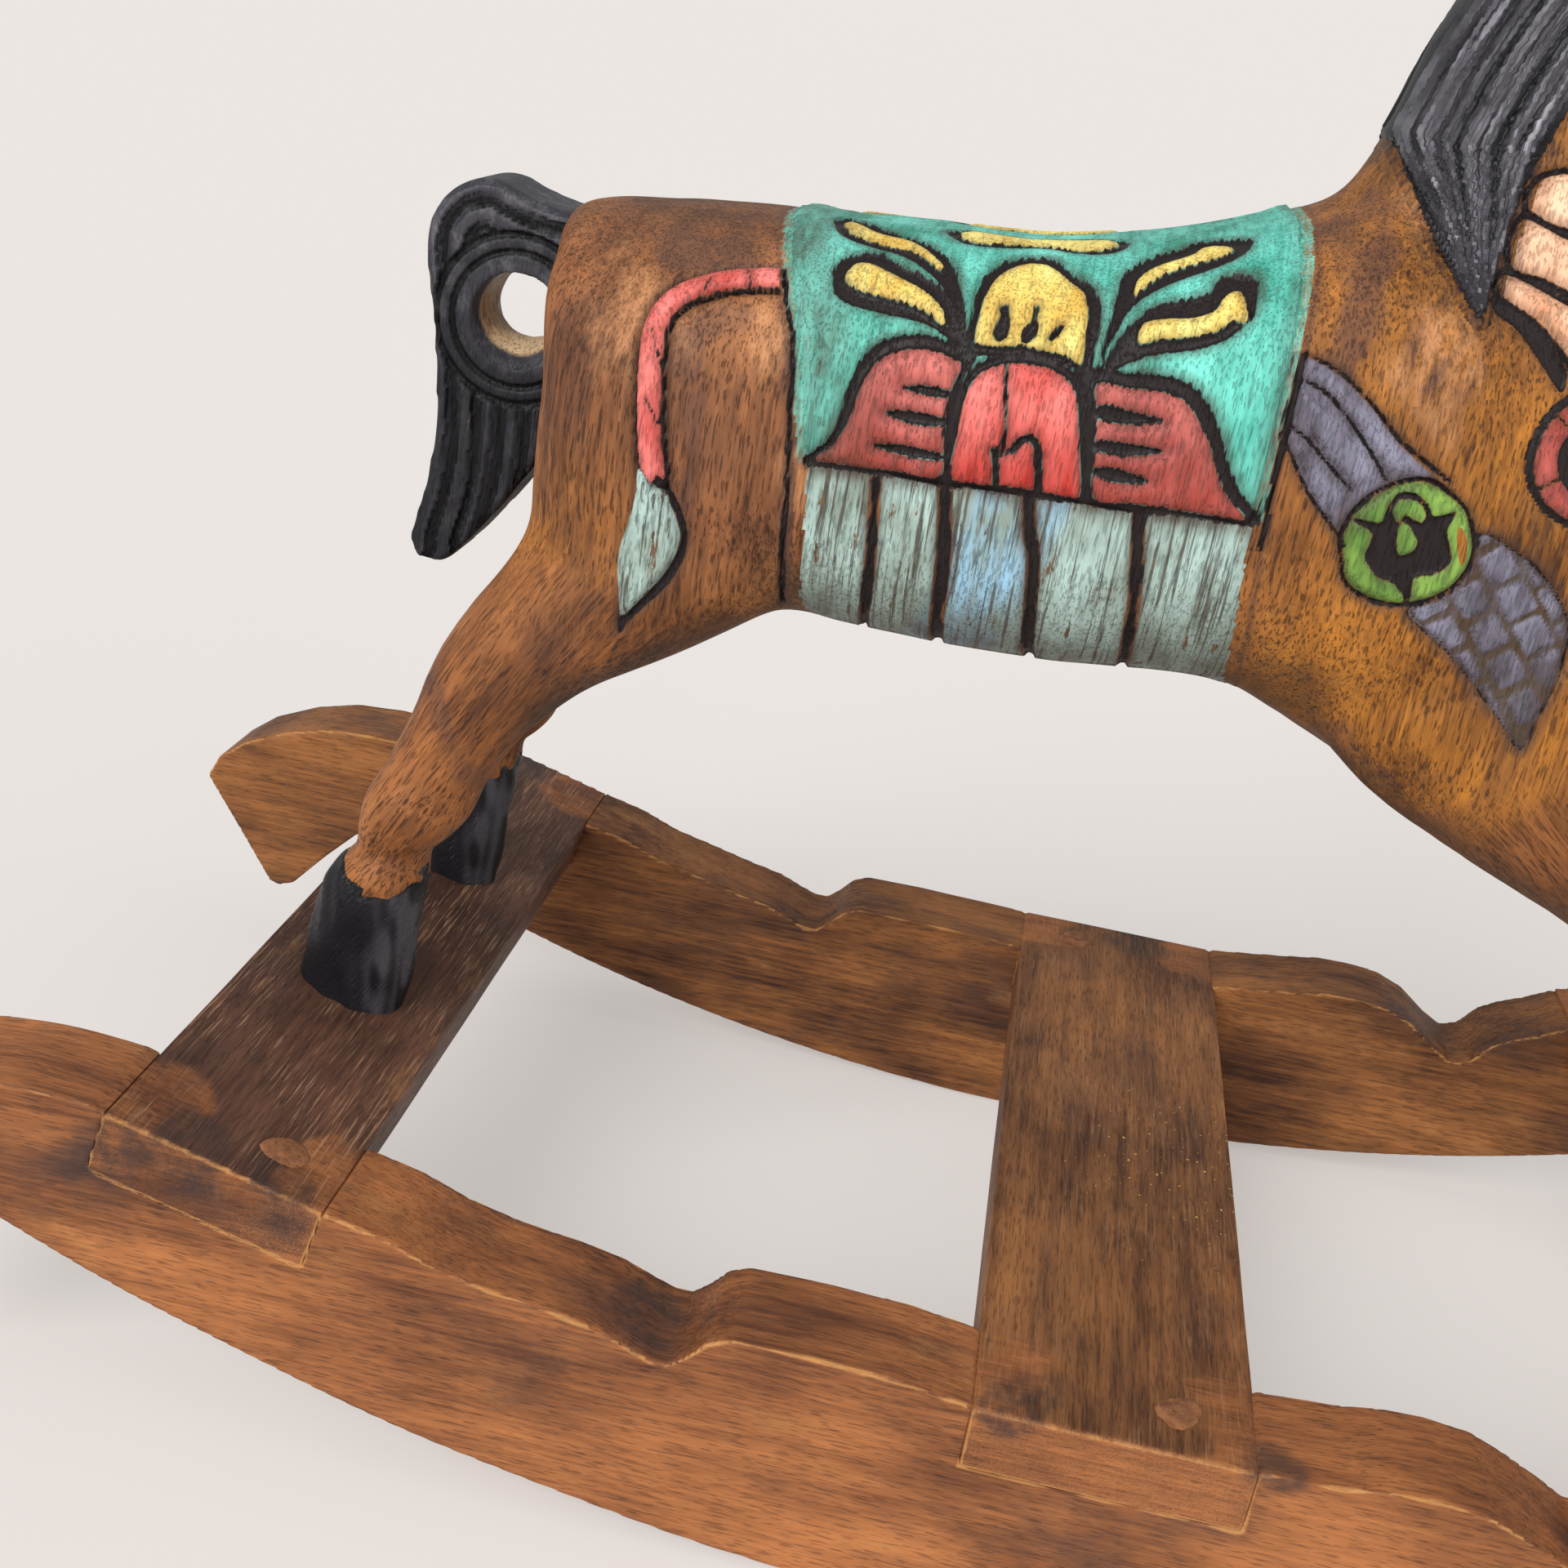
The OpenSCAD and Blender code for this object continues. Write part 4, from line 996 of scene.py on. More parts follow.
def makeAgeing():
    # handling dirt, darker smears and pale rubbed places over any colour
    group, sheet, given, out = makeGroup(
        "ageing", [("Vector", "v", None), ("Color", "c", None), ("Dirt", "f", 0.4),
                   ("Rub", "f", 0.3), ("Edge", "f", 0.0)], [("Color", "c")])
    darkening = sheet.spread(sheet.noise(given["Vector"], 42, 5, 0.62, 0.5), 0.52, 0.68)
    color = sheet.mix(sheet.math("MULTIPLY", darkening, given["Dirt"]), given["Color"],
                      (0.055, 0.03, 0.026, 1))
    grit = sheet.noise(given["Vector"], 330, 5, 0.7, 0.4)
    worn = sheet.spread(sheet.math("ADD", given["Edge"], sheet.math("MULTIPLY", grit, 0.7)),
                        0.82, 1.1)
    pale = sheet.spread(sheet.noise(given["Vector"], 70, 6, 0.7, 0.4), 0.58, 0.72, 0, 0.4)
    rubbed = sheet.math("MULTIPLY", sheet.math("MAXIMUM", worn, pale), given["Rub"])
    color = sheet.mix(rubbed, color, (0.54, 0.26, 0.085, 1))
    sheet.tree.links.new(color, out["Color"])
    return group


print("mixing the finishes")
woodGrain, paintCover = makeWoodGrain(), makePaintCover()
paintTone, ageing = makePaintTone(), makeAgeing()

# light tone, dark tone, ragged edge, wear
paints = {
    "teal": ((0.20, 0.76, 0.63, 1), (0.035, 0.29, 0.21, 1), 0.35, 0.12),
    "blue": ((0.44, 0.60, 0.55, 1), (0.24, 0.30, 0.255, 1), 0.5, 0.34),
    "red": ((0.93, 0.24, 0.21, 1), (0.58, 0.075, 0.06, 1), 0.3, 0.1),
    "brick": ((0.74, 0.20, 0.17, 1), (0.31, 0.065, 0.055, 1), 0.3, 0.16),
    "gold": ((1.0, 0.88, 0.27, 1), (0.74, 0.47, 0.09, 1), 0.5, 0.16),
    "grey": ((0.27, 0.26, 0.35, 1), (0.085, 0.07, 0.085, 1), 0.5, 0.22),
    "green": ((0.29, 0.50, 0.09, 1), (0.10, 0.21, 0.04, 1), 0.4, 0.16),
    "pale": ((0.97, 0.60, 0.39, 1), (0.66, 0.31, 0.17, 1), 0.35, 0.14),
}
deepTones = {"red": (0.46, 0.03, 0.02, 1), "brick": (0.34, 0.05, 0.035, 1)}
woods = {
    "body": {"light": (0.37, 0.143, 0.054, 1), "dark": (0.048, 0.017, 0.009, 1),
             "warmLight": (0.53, 0.20, 0.028, 1), "warmDark": (0.065, 0.022, 0.008, 1)},
    "leg": {"light": (0.40, 0.148, 0.045, 1), "dark": (0.055, 0.019, 0.009, 1)},
    "rocker": {"light": (0.43, 0.158, 0.052, 1), "dark": (0.115, 0.04, 0.017, 1)},
    # darker tones for the far rocker: painted shade on its inner face
    "farRocker": {"light": (0.33, 0.128, 0.038, 1), "dark": (0.048, 0.017, 0.009, 1)},
    "slat": {"light": (0.32, 0.13, 0.042, 1), "dark": (0.06, 0.023, 0.011, 1)},
    "rearSlat": {"light": (0.14, 0.062, 0.038, 1), "dark": (0.026, 0.013, 0.010, 1)},
}
scratches = {"slat": 0.3, "rearSlat": 0.75}


def startFinish(name, turn, roughness):
    material = bpy.data.materials.new(name)
    material.use_nodes = True
    sheet = Sheet(material.node_tree)
    shader = material.node_tree.nodes["Principled BSDF"]
    shader.inputs["Roughness"].default_value = roughness
    shader.inputs["Specular IOR Level"].default_value = 0.2
    place = sheet.add("TexCoord").outputs["Object"]
    vector = sheet.add("Mapping", {"Vector": place,
                                   "Rotation": [math.radians(a) for a in turn]}).outputs[0]
    return material, sheet, shader, vector


def placeGroup(sheet, group, **inputs):
    node = sheet.tree.nodes.new("ShaderNodeGroup")
    node.node_tree = group
    for key, value in inputs.items():
        socket = node.inputs[key.replace("_", " ")]
        if isinstance(value, bpy.types.NodeSocket):
            sheet.tree.links.new(value, socket)
        else:
            socket.default_value = value
    return node.outputs


def valueOf(sheet, name):
    return sheet.add("Attribute", attribute_name=name).outputs["Fac"]


def endFinish(sheet, shader, color, height, rough, depth):
    links = sheet.tree.links
    links.new(color, shader.inputs["Base Color"])
    links.new(rough, shader.inputs["Roughness"])
    bump = sheet.add("Bump", {"Height": height, "Strength": 0.8, "Distance": depth})
    links.new(bump.outputs[0], shader.inputs["Normal"])


def mixedGrain(sheet, wood, vector):
    light, dark = woods[wood]["light"], woods[wood]["dark"]
    if "warmLight" in woods[wood]:
        warm = valueOf(sheet, "warm")
        light = sheet.mix(warm, light, woods[wood]["warmLight"])
        dark = sheet.mix(warm, dark, woods[wood]["warmDark"])
    return placeGroup(sheet, woodGrain, Vector=vector, Light=light, Dark=dark, Pores=1.0)


def paintedWood(name, wood, turn, layers, second=None, wrapped=False, hair=False):
    material, sheet, shader, vector = startFinish(name, turn, 0.5)
    grain = mixedGrain(sheet, wood, vector)
    bare, pores, height = grain["Color"], grain["Pores"], grain["Height"]
    if second:
        place = sheet.add("TexCoord").outputs["Object"]
        turned = sheet.add("Mapping", {"Vector": place,
                                       "Rotation": [math.radians(a) for a in second[1]]}).outputs[0]
        other = mixedGrain(sheet, second[0], turned)
        share = valueOf(sheet, "share")
        bare = sheet.mix(share, bare, other["Color"])
        pores = sheet.add("Mix", {0: share, 2: pores, 3: other["Pores"]}).outputs[0]
        height = sheet.add("Mix", {0: share, 2: height, 3: other["Height"]}).outputs[0]
    color = placeGroup(sheet, ageing, Vector=vector, Color=bare, Dirt=0.45, Rub=0.3)["Color"]
    painted = None
    # painted highlight: paler streaky wood over the highlight patches
    streaks = sheet.spread(sheet.noise(vector, 520, 4, 0.7, 0.08), 0.4, 0.62, 0.15, 1.0)
    color = sheet.mix(sheet.math("MULTIPLY", valueOf(sheet, "paintedHighlight"), streaks), color,
                      (0.60, 0.28, 0.12, 1))
    # stains, and painted shade beside the blanket's raised edge, darken toward this brown
    color = sheet.mix(valueOf(sheet, "darkening"), color, (0.07, 0.038, 0.036, 1))
    wrap = sheet.add("Attribute", attribute_name="wrap").outputs["Vector"]
    coat = wrap if wrapped else vector
    for layer in layers:
        light, dark, ragged, worn = paints[layer]
        if layer == "blue":
            light = sheet.mix(valueOf(sheet, "azure"), light, (0.33, 0.60, 0.80, 1))
        tone = placeGroup(sheet, paintTone, Vector=coat, Light=light, Dark=dark)["Color"]
        mask = placeGroup(sheet, paintCover, Vector=coat, Distance=valueOf(sheet, layer),
                          Ragged=ragged, Worn=worn)["Mask"]
        if layer in deepTones:
            drip = sheet.spread(sheet.noise(coat, 300, 4, 0.6, 0.3), 0.35, 0.6, 0.55, 1.0)
            tone = sheet.mix(sheet.math("MULTIPLY", valueOf(sheet, "deep"), drip), tone,
                             deepTones[layer])
        if layer == "blue":
            crack = sheet.noise(coat, 900, 4, 0.68, 0.035)
            tone = sheet.mix(sheet.spread(crack, 0.53, 0.6, 0, 0.85), tone, (0.07, 0.055, 0.04, 1))
            color = sheet.mix(sheet.spread(valueOf(sheet, layer), 0.1, -0.1, 0, 0.75), color,
                              (0.12, 0.08, 0.05, 1))
        if layer == "gold":
            leaf = sheet.spread(sheet.noise(coat, 520, 6, 0.75), 0.54, 0.66, 0, 0.7)
            tone = sheet.mix(leaf, tone, (0.45, 0.22, 0.05, 1))
        color = sheet.mix(mask, color, tone)
        painted = mask if painted is None else sheet.math("MAXIMUM", painted, mask)
    dots = sheet.spread(sheet.noise(coat, 1100, 2, 0.5, 0.22), 0.57, 0.65, 0, 0.8)
    speckle = sheet.math("MAXIMUM", pores, dots)
    color = sheet.mix(sheet.math("MULTIPLY", speckle, sheet.math("MULTIPLY", painted, 0.5)),
                      color, (0.035, 0.05, 0.04, 1))
    # dirt and painted shade darken toward this brown, unevenly
    patchiness = sheet.spread(sheet.noise(coat, 210, 5, 0.7, 0.3), 0.36, 0.6, 0.5, 1.1)
    color = sheet.mix(sheet.math("MULTIPLY", valueOf(sheet, "dirtAndShade"), patchiness), color,
                      (0.075, 0.048, 0.03, 1))
    # painted highlight and shade: the black paint is lighter on the ridges of the carved hair and
    # near black in its grooves, with a painted grey gleam along the strands
    ridge = valueOf(sheet, "ridge")
    black = sheet.mix(sheet.spread(ridge, 0.15, 0.95), (0.004, 0.0035, 0.005, 1),
                      (0.085, 0.08, 0.094, 1))
    if hair:
        strand = sheet.noise(wrap, 1500, 4, 0.65, 0.035)
        gleam = sheet.math("MULTIPLY", sheet.spread(strand, 0.5, 0.7),
                           sheet.spread(ridge, 0.2, 0.9, 0.1, 1.0))
        black = sheet.mix(gleam, black, (0.34, 0.33, 0.37, 1))
        black = sheet.mix(sheet.spread(strand, 0.46, 0.36), black, (0.004, 0.0035, 0.005, 1))
    cover = placeGroup(sheet, paintCover, Vector=vector, Distance=valueOf(sheet, "black"),
                       Ragged=0.4, Worn=0.03)["Mask"]
    color = sheet.mix(cover, color, black)
    if hair:
        height = sheet.add("Mix", {0: cover, 2: height,
                                   3: sheet.math("MULTIPLY", strand, 2.2)}).outputs[0]
    painted = sheet.math("MAXIMUM", painted, cover)
    line = valueOf(sheet, "line")
    scorch = sheet.spread(line, 1.7, 0.0, 0.0, 0.5)
    color = sheet.mix(sheet.math("MULTIPLY", scorch, patchiness), color, (0.05, 0.026, 0.02, 1))
    hatch = sheet.math("SUBTRACT", sheet.noise(coat, 1300, 2, 0.5, 0.16), 0.5)
    ragged = sheet.math("ADD", line, sheet.math("MULTIPLY", hatch, 2.0 if wrapped else 0.9))
    burn = sheet.math("MAXIMUM", sheet.spread(line, 0.0, -0.25), sheet.spread(ragged, 0.1, -0.1))
    color = sheet.mix(burn, color, (0.016, 0.011, 0.011, 1))
    rough = sheet.math("ADD", sheet.math("MULTIPLY", painted, -0.08),
                       sheet.spread(height, -1, 0.4, 0.74, 0.5))
    endFinish(sheet, shader, color, height, rough, 0.00035)
    return material


def plainWood(name, wood, turn, dirt=0.55, rub=0.7):
    material, sheet, shader, vector = startFinish(name, turn, 0.55)
    light, dark = woods[wood]["light"], woods[wood]["dark"]
    grain = placeGroup(sheet, woodGrain, Vector=vector, Light=light, Dark=dark, Pores=0.6)
    bare = grain["Color"]
    if wood in scratches:
        place = sheet.add("TexCoord").outputs["Object"]
        turned = sheet.add("Mapping", {"Vector": place, "Rotation": (0, math.pi / 2, 0)}).outputs[0]
        near = placeGroup(sheet, woodGrain, Vector=turned, Light=woods["rocker"]["light"],
                          Dark=woods["rocker"]["dark"], Pores=0.6)
        bare = sheet.mix(valueOf(sheet, "lap"), bare, near["Color"])
    aged = placeGroup(sheet, ageing, Vector=vector, Color=bare, Dirt=dirt, Rub=rub,
                      Edge=valueOf(sheet, "edge"))
    color = aged["Color"]
    if wood in scratches:
        thin = sheet.spread(sheet.noise(vector, 2300, 4, 0.65, 0.035), 0.54, 0.64)
        there = sheet.spread(sheet.noise(vector, 45, 3, 0.6), 0.42, 0.6, 0.1, 1.0)
        thin = sheet.math("MULTIPLY", sheet.math("MULTIPLY", thin, there), scratches[wood])
        color = sheet.mix(thin, color, (0.40, 0.23, 0.13, 1))
    blotch = sheet.spread(sheet.noise(vector, 170, 6, 0.72, 0.5), 0.36, 0.58)
    color = sheet.mix(sheet.math("MULTIPLY", valueOf(sheet, "smudge"), blotch), color,
                      (0.04, 0.027, 0.025, 1))
    fleck = sheet.spread(sheet.noise(vector, 900, 2, 0.5), 0.69, 0.72)
    color = sheet.mix(sheet.math("MULTIPLY", fleck, valueOf(sheet, "fleck")), color,
                      (0.9, 0.55, 0.12, 1))
    rough = sheet.spread(grain["Height"], -1, 0.4, 0.78, 0.5)
    endFinish(sheet, shader, color, grain["Height"], rough, 0.0003)
    return material


def fillerFinish(name):
    material, sheet, shader, vector = startFinish(name, (90, 0, 0), 0.7)
    spot = sheet.spread(sheet.noise(vector, 420, 5, 0.7), 0.35, 0.7)
    color = sheet.mix(spot, (0.15, 0.06, 0.03, 1), (0.36, 0.15, 0.06, 1))
    dark = sheet.spread(sheet.noise(vector, 900, 3), 0.62, 0.7)
    color = sheet.mix(dark, color, (0.09, 0.04, 0.03, 1))
    endFinish(sheet, shader, color, sheet.noise(vector, 1500, 4, 0.7),
              sheet.spread(spot, 0, 1, 0.8, 0.6), 0.0003)
    return material


def steelFinish(name):
    material, sheet, shader, vector = startFinish(name, (0, 0, 0), 0.35)
    shader.inputs["Metallic"].default_value = 1
    scratch = sheet.noise(vector, 900, 4, 0.6, 0.2)
    color = sheet.mix(scratch, (0.32, 0.31, 0.29, 1), (0.55, 0.53, 0.5, 1))
    endFinish(sheet, shader, color, scratch, sheet.spread(scratch, 0, 1, 0.5, 0.28), 0.0001)
    return material


print("making the horse")
form = makeHorseForm()
print("horse form", len(form.data.polygons))
carveHorse(form)
print("carved")
parts = partHorse(form)

# rockers and slats

rocker = {"halfLength": 227.0, "arc": 468.0, "thick": 21.8, "faceY": 100.0,
          "hookDrop": 27.5, "voxel": 0.95, "arris": 0.55,
          "right": {"notch": 95.0, "bump": 47.8, "swell": 48.0},
          "left": {"notch": 100.0, "bump": 46.4, "swell": 50.0}}
slat = {"thick": 12.9, "length": 200.0, "voxel": 0.95, "gap": -0.3, "arris": 0.25,
        "rear": (-145.0, 59.6, -14.5, 41.6), "middle": (14.4, 45.5, 0.0, 48.8),
        "front": (145.0, 59.6, 14.5, 41.6)}


def onSlat(name, along, depth):
    # place in the side view of a point on a slat: along its width, down from its top
    x, z, tilt = slat[name][:3]
    t = math.radians(tilt)
    return (x + along * math.cos(t) + depth * math.sin(t),
            z + along * math.sin(t) - depth * math.cos(t))


def pocket(name):
    half = slat[name][3] / 2 + slat["gap"]
    deep = slat["thick"] + slat["gap"]
    return [onSlat(name, -half, 0), onSlat(name, -half, deep), onSlat(name, half, deep),
            onSlat(name, half, 0)]


def rockerOutline(side):
    n, bump, swell = (rocker[side][k] for k in ("notch", "bump", "swell"))
    h = rocker["halfLength"]
    foot = 46 - rocker["hookDrop"]
    tip = [[h - 45, 66.5], [h - 32, 65.5], [h - 21, 62.5], [h - 10, 57.5], [h - 3, 52],
           [h, 46]]
    top = [[-x, z] for x, z in tip[::-1]] + [[-167.8, 65.6]] + pocket("rear")
    top += [[-114, 52], [-105, 48.6], [-95, 46.4], [-83, bump - 2.8], [-75, bump - 4.4],
            [-69, bump - 6.8], [-65, bump - 8.2], [-62, bump - 8.2], [-59, bump - 5.6],
            [-56, bump - 2], [-52, bump - .2], [-38, bump], [-24, bump - .4]]
    top += pocket("middle") + [
        [n - 42, swell - 1.6], [n - 34, swell - .2], [n - 27, swell], [n - 19, swell - .8],
        [n - 12, swell - 3.6], [n - 5, 41], [n, 38.2], [n + 4, 39.6], [n + 8, 45],
        [n + 12, 47.6], [n + 18, 50.4]]
    top += pocket("front") + [[167.8, 65.6]] + tip
    end = h - 42
    hook = [[h - 17, foot + 3], [h - 18.5, foot + .8], [h - 21, foot], [h - 25, foot + 1.5],
            [h - 34, foot + 11.5]]
    floor = [[x, rocker["arc"] - math.sqrt(rocker["arc"] ** 2 - x * x)]
             for x in np.linspace(end, -end, 75)]
    return top + hook + floor + [[-x, z] for x, z in hook[::-1]]


def prism(name, outline, y0, y1):
    # flat outline pulled out between two faces
    count = len(outline)
    clearSelection()
    bpy.ops.mesh.primitive_circle_add(vertices=count, fill_type="NGON")
    piece = bpy.context.object
    piece.name = piece.data.name = name
    points = np.array([[x, y0, z] for x, z in outline])
    writePoints(piece, points)
    bpy.ops.object.mode_set(mode="EDIT")
    bpy.ops.mesh.select_all(action="SELECT")
    bpy.ops.mesh.extrude_region_move(
        TRANSFORM_OT_translate={"value": (0, (y1 - y0) / 1000, 0)})
    bpy.ops.mesh.select_all(action="SELECT")
    bpy.ops.mesh.normals_make_consistent(inside=False)
    bpy.ops.object.mode_set(mode="OBJECT")
    return piece


def snapToSlab(piece, outline, y0, y1, arris):
    # puts a remeshed slab back on its exact outline with a small even arris
    points = readPoints(piece)
    x, y, z = points.T
    shape = np.array(outline, float)
    best = np.full(len(x), 1e9)
    nearX, nearZ = np.zeros(len(x)), np.zeros(len(x))
    inside = np.zeros(len(x), bool)
    for (ax, az), (bx, bz) in zip(shape, np.roll(shape, -1, 0)):
        dx, dz = bx - ax, bz - az
        t = np.clip(((x - ax) * dx + (z - az) * dz) / max(dx * dx + dz * dz, 1e-9), 0, 1)
        cx, cz = ax + t * dx, az + t * dz
        away = np.hypot(x - cx, z - cz)
        closer = away < best
        best = np.where(closer, away, best)
        nearX, nearZ = np.where(closer, cx, nearX), np.where(closer, cz, nearZ)
        crosses = (az > z) != (bz > z)
        inside ^= crosses & (x < (bx - ax) * (z - az) / (bz - az if bz != az else 1) + ax)
    sign = np.where(inside, -1.0, 1.0)
    side = sign * best
    gx = sign * (x - nearX) / np.maximum(best, 1e-6)
    gz = sign * (z - nearZ) / np.maximum(best, 1e-6)
    face = np.abs(y - (y0 + y1) / 2) - (y1 - y0) / 2
    gy = np.sign(y - (y0 + y1) / 2)
    a, b = np.maximum(side + arris, 0), np.maximum(face + arris, 0)
    corner = (a > 0) & (b > 0)
    long = np.maximum(np.hypot(a, b), 1e-6)
    off = np.where(corner, long - arris, np.maximum(side, face))
    onSide = side > face
    moveX = np.where(corner, a * gx / long, np.where(onSide, gx, 0))
    moveZ = np.where(corner, a * gz / long, np.where(onSide, gz, 0))
    moveY = np.where(corner, b * gy / long, np.where(onSide, 0, gy))
    near = (np.abs(off) < 1.6) & (best > 1e-4)
    points -= np.where(near, off, 0)[:, None] * np.stack([moveX, moveY, moveZ], -1)
    writePoints(piece, points)
    return np.hypot(np.minimum(side, 0), np.minimum(face, 0))


def wearAndDirt(piece, inward):
    points, normals = readPoints(piece), readNormals(piece)
    ripple = wobble(points, 9, 41)
    keepValue(piece, "edge", np.clip(1.05 - inward / (0.95 + 0.45 * ripple), 0, 1)
              * slopeStep(normals[:, 2] + np.abs(normals[:, 1]), -0.2, 0.5))
    dirt = np.zeros(len(points))
    for x, y, z, size, seed in smears:
        away = np.hypot(np.hypot(points[:, 0] - x, 0.8 * (points[:, 1] - y)),
                        1.5 * (points[:, 2] - z))
        dirt = np.maximum(dirt, slopeStep(size - away + 0.3 * size * wobble(points, 17, seed),
                                          0, size * 0.55))
    keepValue(piece, "smudge", 0.72 * dirt)


# dark smears where hands and glue left them: x, y, z, size, seed
smears = [(-160, -98, 57, 17, 51), (-133, -100, 55, 10, 52), (-66, -90, 42, 9, 53),
          (-2, -96, 46, 9, 54), (40, -97, 46, 7, 55), (-150, 96, 60, 16, 56),
          (20, 97, 46, 12, 57), (150, -97, 60, 15, 58), (146, 97, 60, 15, 59),
          (96, -92, 40, 9, 61), (96, 92, 40, 9, 62)]


def makeRocker(name, side, sign):
    y = [sign * rocker["faceY"], sign * (rocker["faceY"] - rocker["thick"])]
    outline = rockerOutline(side)
    piece = prism(name, outline, min(y), max(y))
    remesh(piece, rocker["voxel"], 1)
    snapToSlab(piece, outline, min(y), max(y), rocker["arris"])
    inward = snapToSlab(piece, outline, min(y), max(y), rocker["arris"])
    points = readPoints(piece)
    points += readNormals(piece) * (0.1 * wobble(points, 46, 5 + sign))[:, None]
    writePoints(piece, points)
    wearAndDirt(piece, inward)
    keepValue(piece, "fleck", np.zeros(len(points)))
    keepValue(piece, "lap", np.ones(len(points)))
    shade(piece, 60)
    return piece


def makeSlat(name, key):
    half = slat[key][3] / 2
    outline = [onSlat(key, -half, 0), onSlat(key, -half, slat["thick"]),
               onSlat(key, half, slat["thick"]), onSlat(key, half, 0)]
    ends = slat["length"] / 2 + 0.04
    piece = prism(name, outline, -ends, ends)
    remesh(piece, slat["voxel"], 1)
    snapToSlab(piece, outline, -ends, ends, slat["arris"])
    inward = snapToSlab(piece, outline, -ends, ends, slat["arris"])
    points = readPoints(piece)
    points += readNormals(piece) * (0.05 * wobble(points, 40, len(name)))[:, None]
    writePoints(piece, points)
    wearAndDirt(piece, inward)
    x, y = points[:, 0], points[:, 1]
    sideways = half - np.abs((x - slat[key][0]) / math.cos(math.radians(slat[key][2])))
    patch = slopeStep(np.abs(y) + 4 * wobble(points, 14, 17), 76, 84) * slopeStep(
        13 - sideways + 4 * wobble(points, 11, 18), 0, 3)
    wear = np.clip(1.1 - inward / 1.3, 0, 1) * slopeStep(np.abs(y), 98.4, 99.6)
    keepValue(piece, "edge", np.maximum(wear, 0.85 * np.clip(1 - inward / 1.1, 0, 1)))
    keepValue(piece, "lap", np.maximum(patch * 0.85, slopeStep(np.abs(y), 99.2, 99.7)))
    spot = np.hypot(points[:, 0] - 26, (points[:, 1] + 12) / 1.6)
    keepValue(piece, "fleck", slopeStep(30 - spot, 0, 22) * (key == "middle"))
    shade(piece, 60)
    return piece


# tail: a slab with a hole, cut into running locks

tail = {"outline": [[0, 215], [-4.4, 215], [-10.5, 216.4], [-17, 218.4], [-22.8, 216.6],
                    [-26.8, 212.4], [-28.6, 207], [-28.2, 201.5], [-26.5, 193], [-24.8, 182],
                    [-24, 171], [-24.9, 160], [-26.8, 151], [-26.9, 147], [-24.6, 144.4],
                    [-20.6, 144.6], [-17, 148.2], [-10.2, 157.4], [-4.6, 166], [-1.2, 171],
                    [0, 173]],
        "jointX": -121.5, "half": 9.0, "hole": (-131.6, 193.8, 8.7), "waist": 2.0, "voxel": 0.9,
        "collar": (12.6, 15.8), "relief": 0.7, "locks": 4.6}


def makeTail():
    outline = [(tail["jointX"] + x, z) for x, z in curved(tail["outline"], False)]
    piece = prism("tailCarved", outline, -tail["half"], tail["half"])
    x, z, radius = tail["hole"]
    clearSelection()
    bpy.ops.mesh.primitive_cylinder_add(vertices=48, radius=radius / 1000, depth=0.06,
                                        location=(x / 1000, 0, z / 1000),
                                        rotation=(math.pi / 2, 0, 0))
    cutter = bpy.context.object
    applyModifier(piece, "BOOLEAN", operation="DIFFERENCE", object=cutter, solver="EXACT")
    bpy.data.objects.remove(cutter)
    remesh(piece, tail["voxel"], 6)
    applyModifier(piece, "SUBSURF", levels=1, render_levels=1)
    points, normals = readPoints(piece), readNormals(piece)
    px, py, pz = points.T
    rearEdge = outline[:53]
    inward = mark(px, pz, rearEdge, False, reach=60)
    reach = np.hypot(px - x, pz - z)
    flow = inward / tail["locks"] + 0.12 * wobble(points * [1, 1, 0.5], 20, 14)
    lock = 0.5 + 0.5 * np.cos(2 * np.pi * (flow - 0.25))
    thin = 0.5 + 0.5 * np.cos(2 * np.pi * (flow * 2.6 + 0.2))
    ridge = 0.75 * lock ** 0.7 + 0.25 * thin
    first, second = tail["collar"]
    ring = slopeStep(second - reach, 0, 0.8)
    groove = slopeStep(0.8 - np.abs(reach - first), 0, 0.7)
    groove = groove + slopeStep(0.9 - np.abs(reach - second), 0, 0.7)
    ridge = ridge * (1 - ring) + ring * (0.75 - 0.2 * slopeStep(reach, radius, first))
    ridge = np.clip(ridge - 0.9 * groove, 0, 1)
    lift = tail["relief"] * (2 * ridge - 1.35)
    sideways = np.abs(normals[:, 1]) > 0.45
    flat = slopeStep(np.abs(normals[:, 1]), 0.15, 0.6)
    lift = lift * (0.15 + 0.85 * flat) + 0.25 * (1 - flat)
    inHole = (reach < radius + 1.1) & ~sideways
    attach = slopeStep(px, tail["jointX"] - 2.5, tail["jointX"] - 0.5)
    narrow = tail["waist"] * (1 + 1.2 * (z - pz) / np.maximum(reach, 1))
    narrow = narrow * (1 - (py / tail["half"]) ** 2)
    lift = np.where(inHole, 0.12 * wobble(points, 5, 2), lift) * (1 - attach)
    points += normals * lift[:, None]
    points[:, 0] -= np.where(inHole, narrow * (px - x) / np.maximum(reach, 1), 0)
    points[:, 2] -= np.where(inHole, narrow * (pz - z) / np.maximum(reach, 1), 0)
    points[:, 0] = np.minimum(points[:, 0], tail["jointX"] - 0.02)
    writePoints(piece, points)
    bareWall = slopeStep(7.2 - np.abs(py), 0, 1.0) * (reach < radius + 0.9)
    bareWall *= slopeStep(x + 6.5 - px + 1.2 * (z - pz), -4, 3)
    keepValue(piece, "ridge", ridge)
    keepValue(piece, "bare", bareWall)
    # painted sheen, stronger toward the top of the tail
    keepValue(piece, "tailSheen", 0.2 + 0.8 * slopeStep(pz, 176, 206))
    shade(piece, 60)
    return piece


